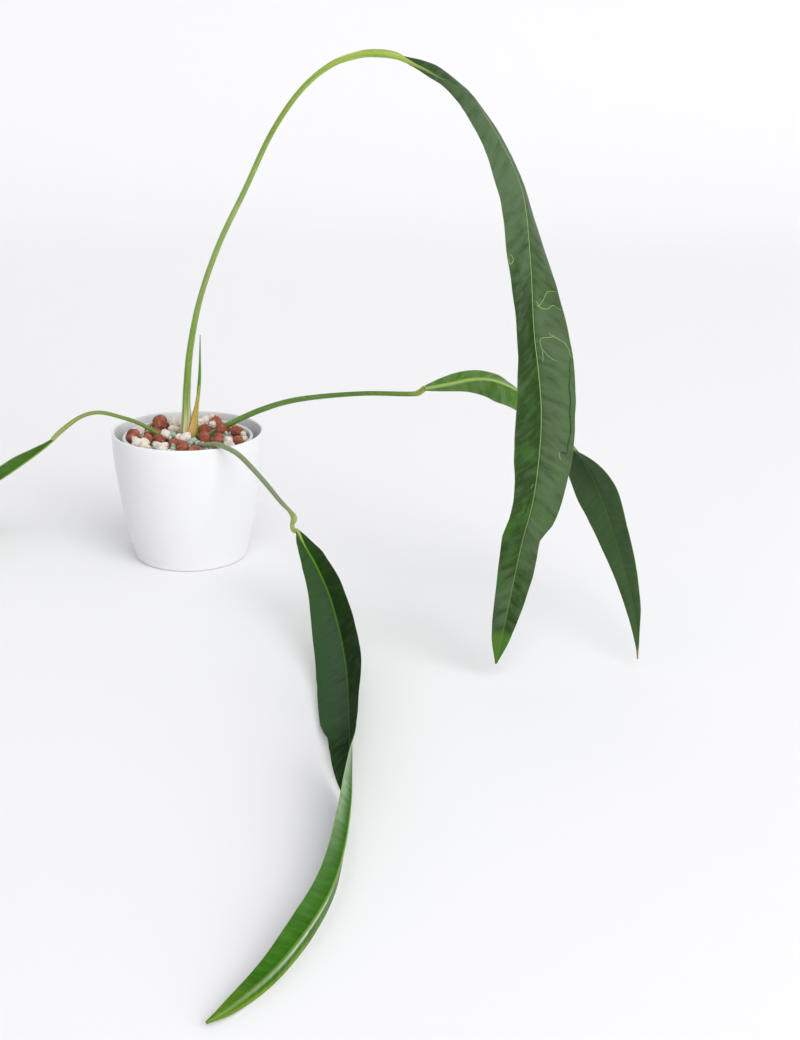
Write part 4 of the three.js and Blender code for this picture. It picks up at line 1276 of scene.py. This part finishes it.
def set_leaves(sweep):
    """The four blades, and leaf A's healed tracks and the dark lines painted as shadows in its creases."""
    # Matt mid green with a dry brown tip, for the two leaves that show no painted sheen.
    even_face = leaf_finish("even_leaf_face", ("#3c5530", "#344b2a", "#49633b"), "#48702a", 0.46, 0.2,
                            edge="#6d8a4c", tip="#8d7a4e", tip_from=0.985)
    # Undersides are smooth and waxy, so they shine and are a fresher green than the faces.
    glossy_back = leaf_finish("glossy_leaf_back", ("#3c6a0c", "#2f580a", "#4f7a22"), "#8cab52", 0.3, 0.18,
                              rib_half=0.8, edge="#a9bf86", edge_from=0.93)
    # Leaf B's underside: a brighter green, with a painted sheen broken up into painted glints.
    bright_back = leaf_finish("bright_leaf_back", ("#4a7812", "#3a660c", "#6f9648"), "#a3bd62", 0.3, 0.35,
                              rib_half=0.6, edge="#8aa860", glint_breakup=2.0,
                              painted_sheen=("#6a8458", [(0, 0.2), (1, 0.2)], [(0, 0.3), (1, 0.3)]))
    # Each leaf with its seed, its ripples, the trim of its edges, and its own veins where they are finer.
    leaves = (
        ("leaf_a", BLADE_A, FRONT, "blade_a", leaf_a_face(), glossy_back, 11,
         [(1.5, 52), (0.5, 21)], EDGES_A, [(0.012, 31), (0.01, 12)], {}),
        ("leaf_b", BLADE_B, FRONT, "blade_b", even_face, bright_back, 21,
         [(1.1, 44), (0.4, 19)], EDGES_B, [(0.02, 31), (0.01, 12)], {}),
        ("leaf_c", BLADE_C, UP, "blade_c", leaf_c_face(), leaf_c_back(), 31,
         [(1.3, 55), (0.4, 23)], EDGES_C, [(0.012, 31), (0.008, 12)], {"veins": 0.035, "line": 0.5}),
        ("leaf_d", BLADE_D, UP, "blade_d", even_face, glossy_back, 41,
         [(1.3, 50), (0.4, 20)], EDGES_D, [(0.03, 31), (0.012, 12)], {}),
    )
    surfaces = {}
    for name, guide, facing, node_name, upper_skin, under_skin, seed, ripples, edges, trim, own in leaves:
        looks = leaf_looks(uneven(seed, *ripples), outline_of(edges, uneven(seed + 1, *trim)), **own)
        mesh, surfaces[name] = blade_mesh(name, guide, facing, looks)
        finished(piece_of(name, mesh), [node_name], "leaf_blade", upper_skin, under_skin)
    strips("leaf_a_tracks", surfaces["leaf_a"], TRACKS_A, 0.24, 0.5,
           scar_and_crease_shadow_finish("healed_tracks", "#a9ba7c", "#7f9a58"), sweep)
    # Dark lines that stand for the shadows in leaf A's creases.
    strips("leaf_a_creases", surfaces["leaf_a"], CREASE_SHADOWS_A, 0.55, 1.6,
           scar_and_crease_shadow_finish("dark_creases", "#2a4418", "#1c3010"), sweep)


def set_sheath():
    """The drying sheath at stalk A's foot: a small blade without veins, one finish on both sides."""
    looks = leaf_looks(uneven(51, (0.3, 9)), outline_of([(0, 1, 1), (60, 1, 1)], uneven(52, (0.08, 9))),
                       veins=0.0, camber=0.0, rib=0.2, rib_width=1.2)
    mesh, _ = blade_mesh("dry_sheath", SHEATH, FRONT, looks)
    dry = sheath_finish()
    finished(piece_of("dry_sheath", mesh), ["sheath"], "dry_sheath", dry, dry)


set_camera()
set_lights()
set_floor()
set_pots_and_bed()
set_top_dressing()
stalk_sweep = stalk_tree()
set_stalks(stalk_sweep)
set_leaves(stalk_sweep)
set_sheath()
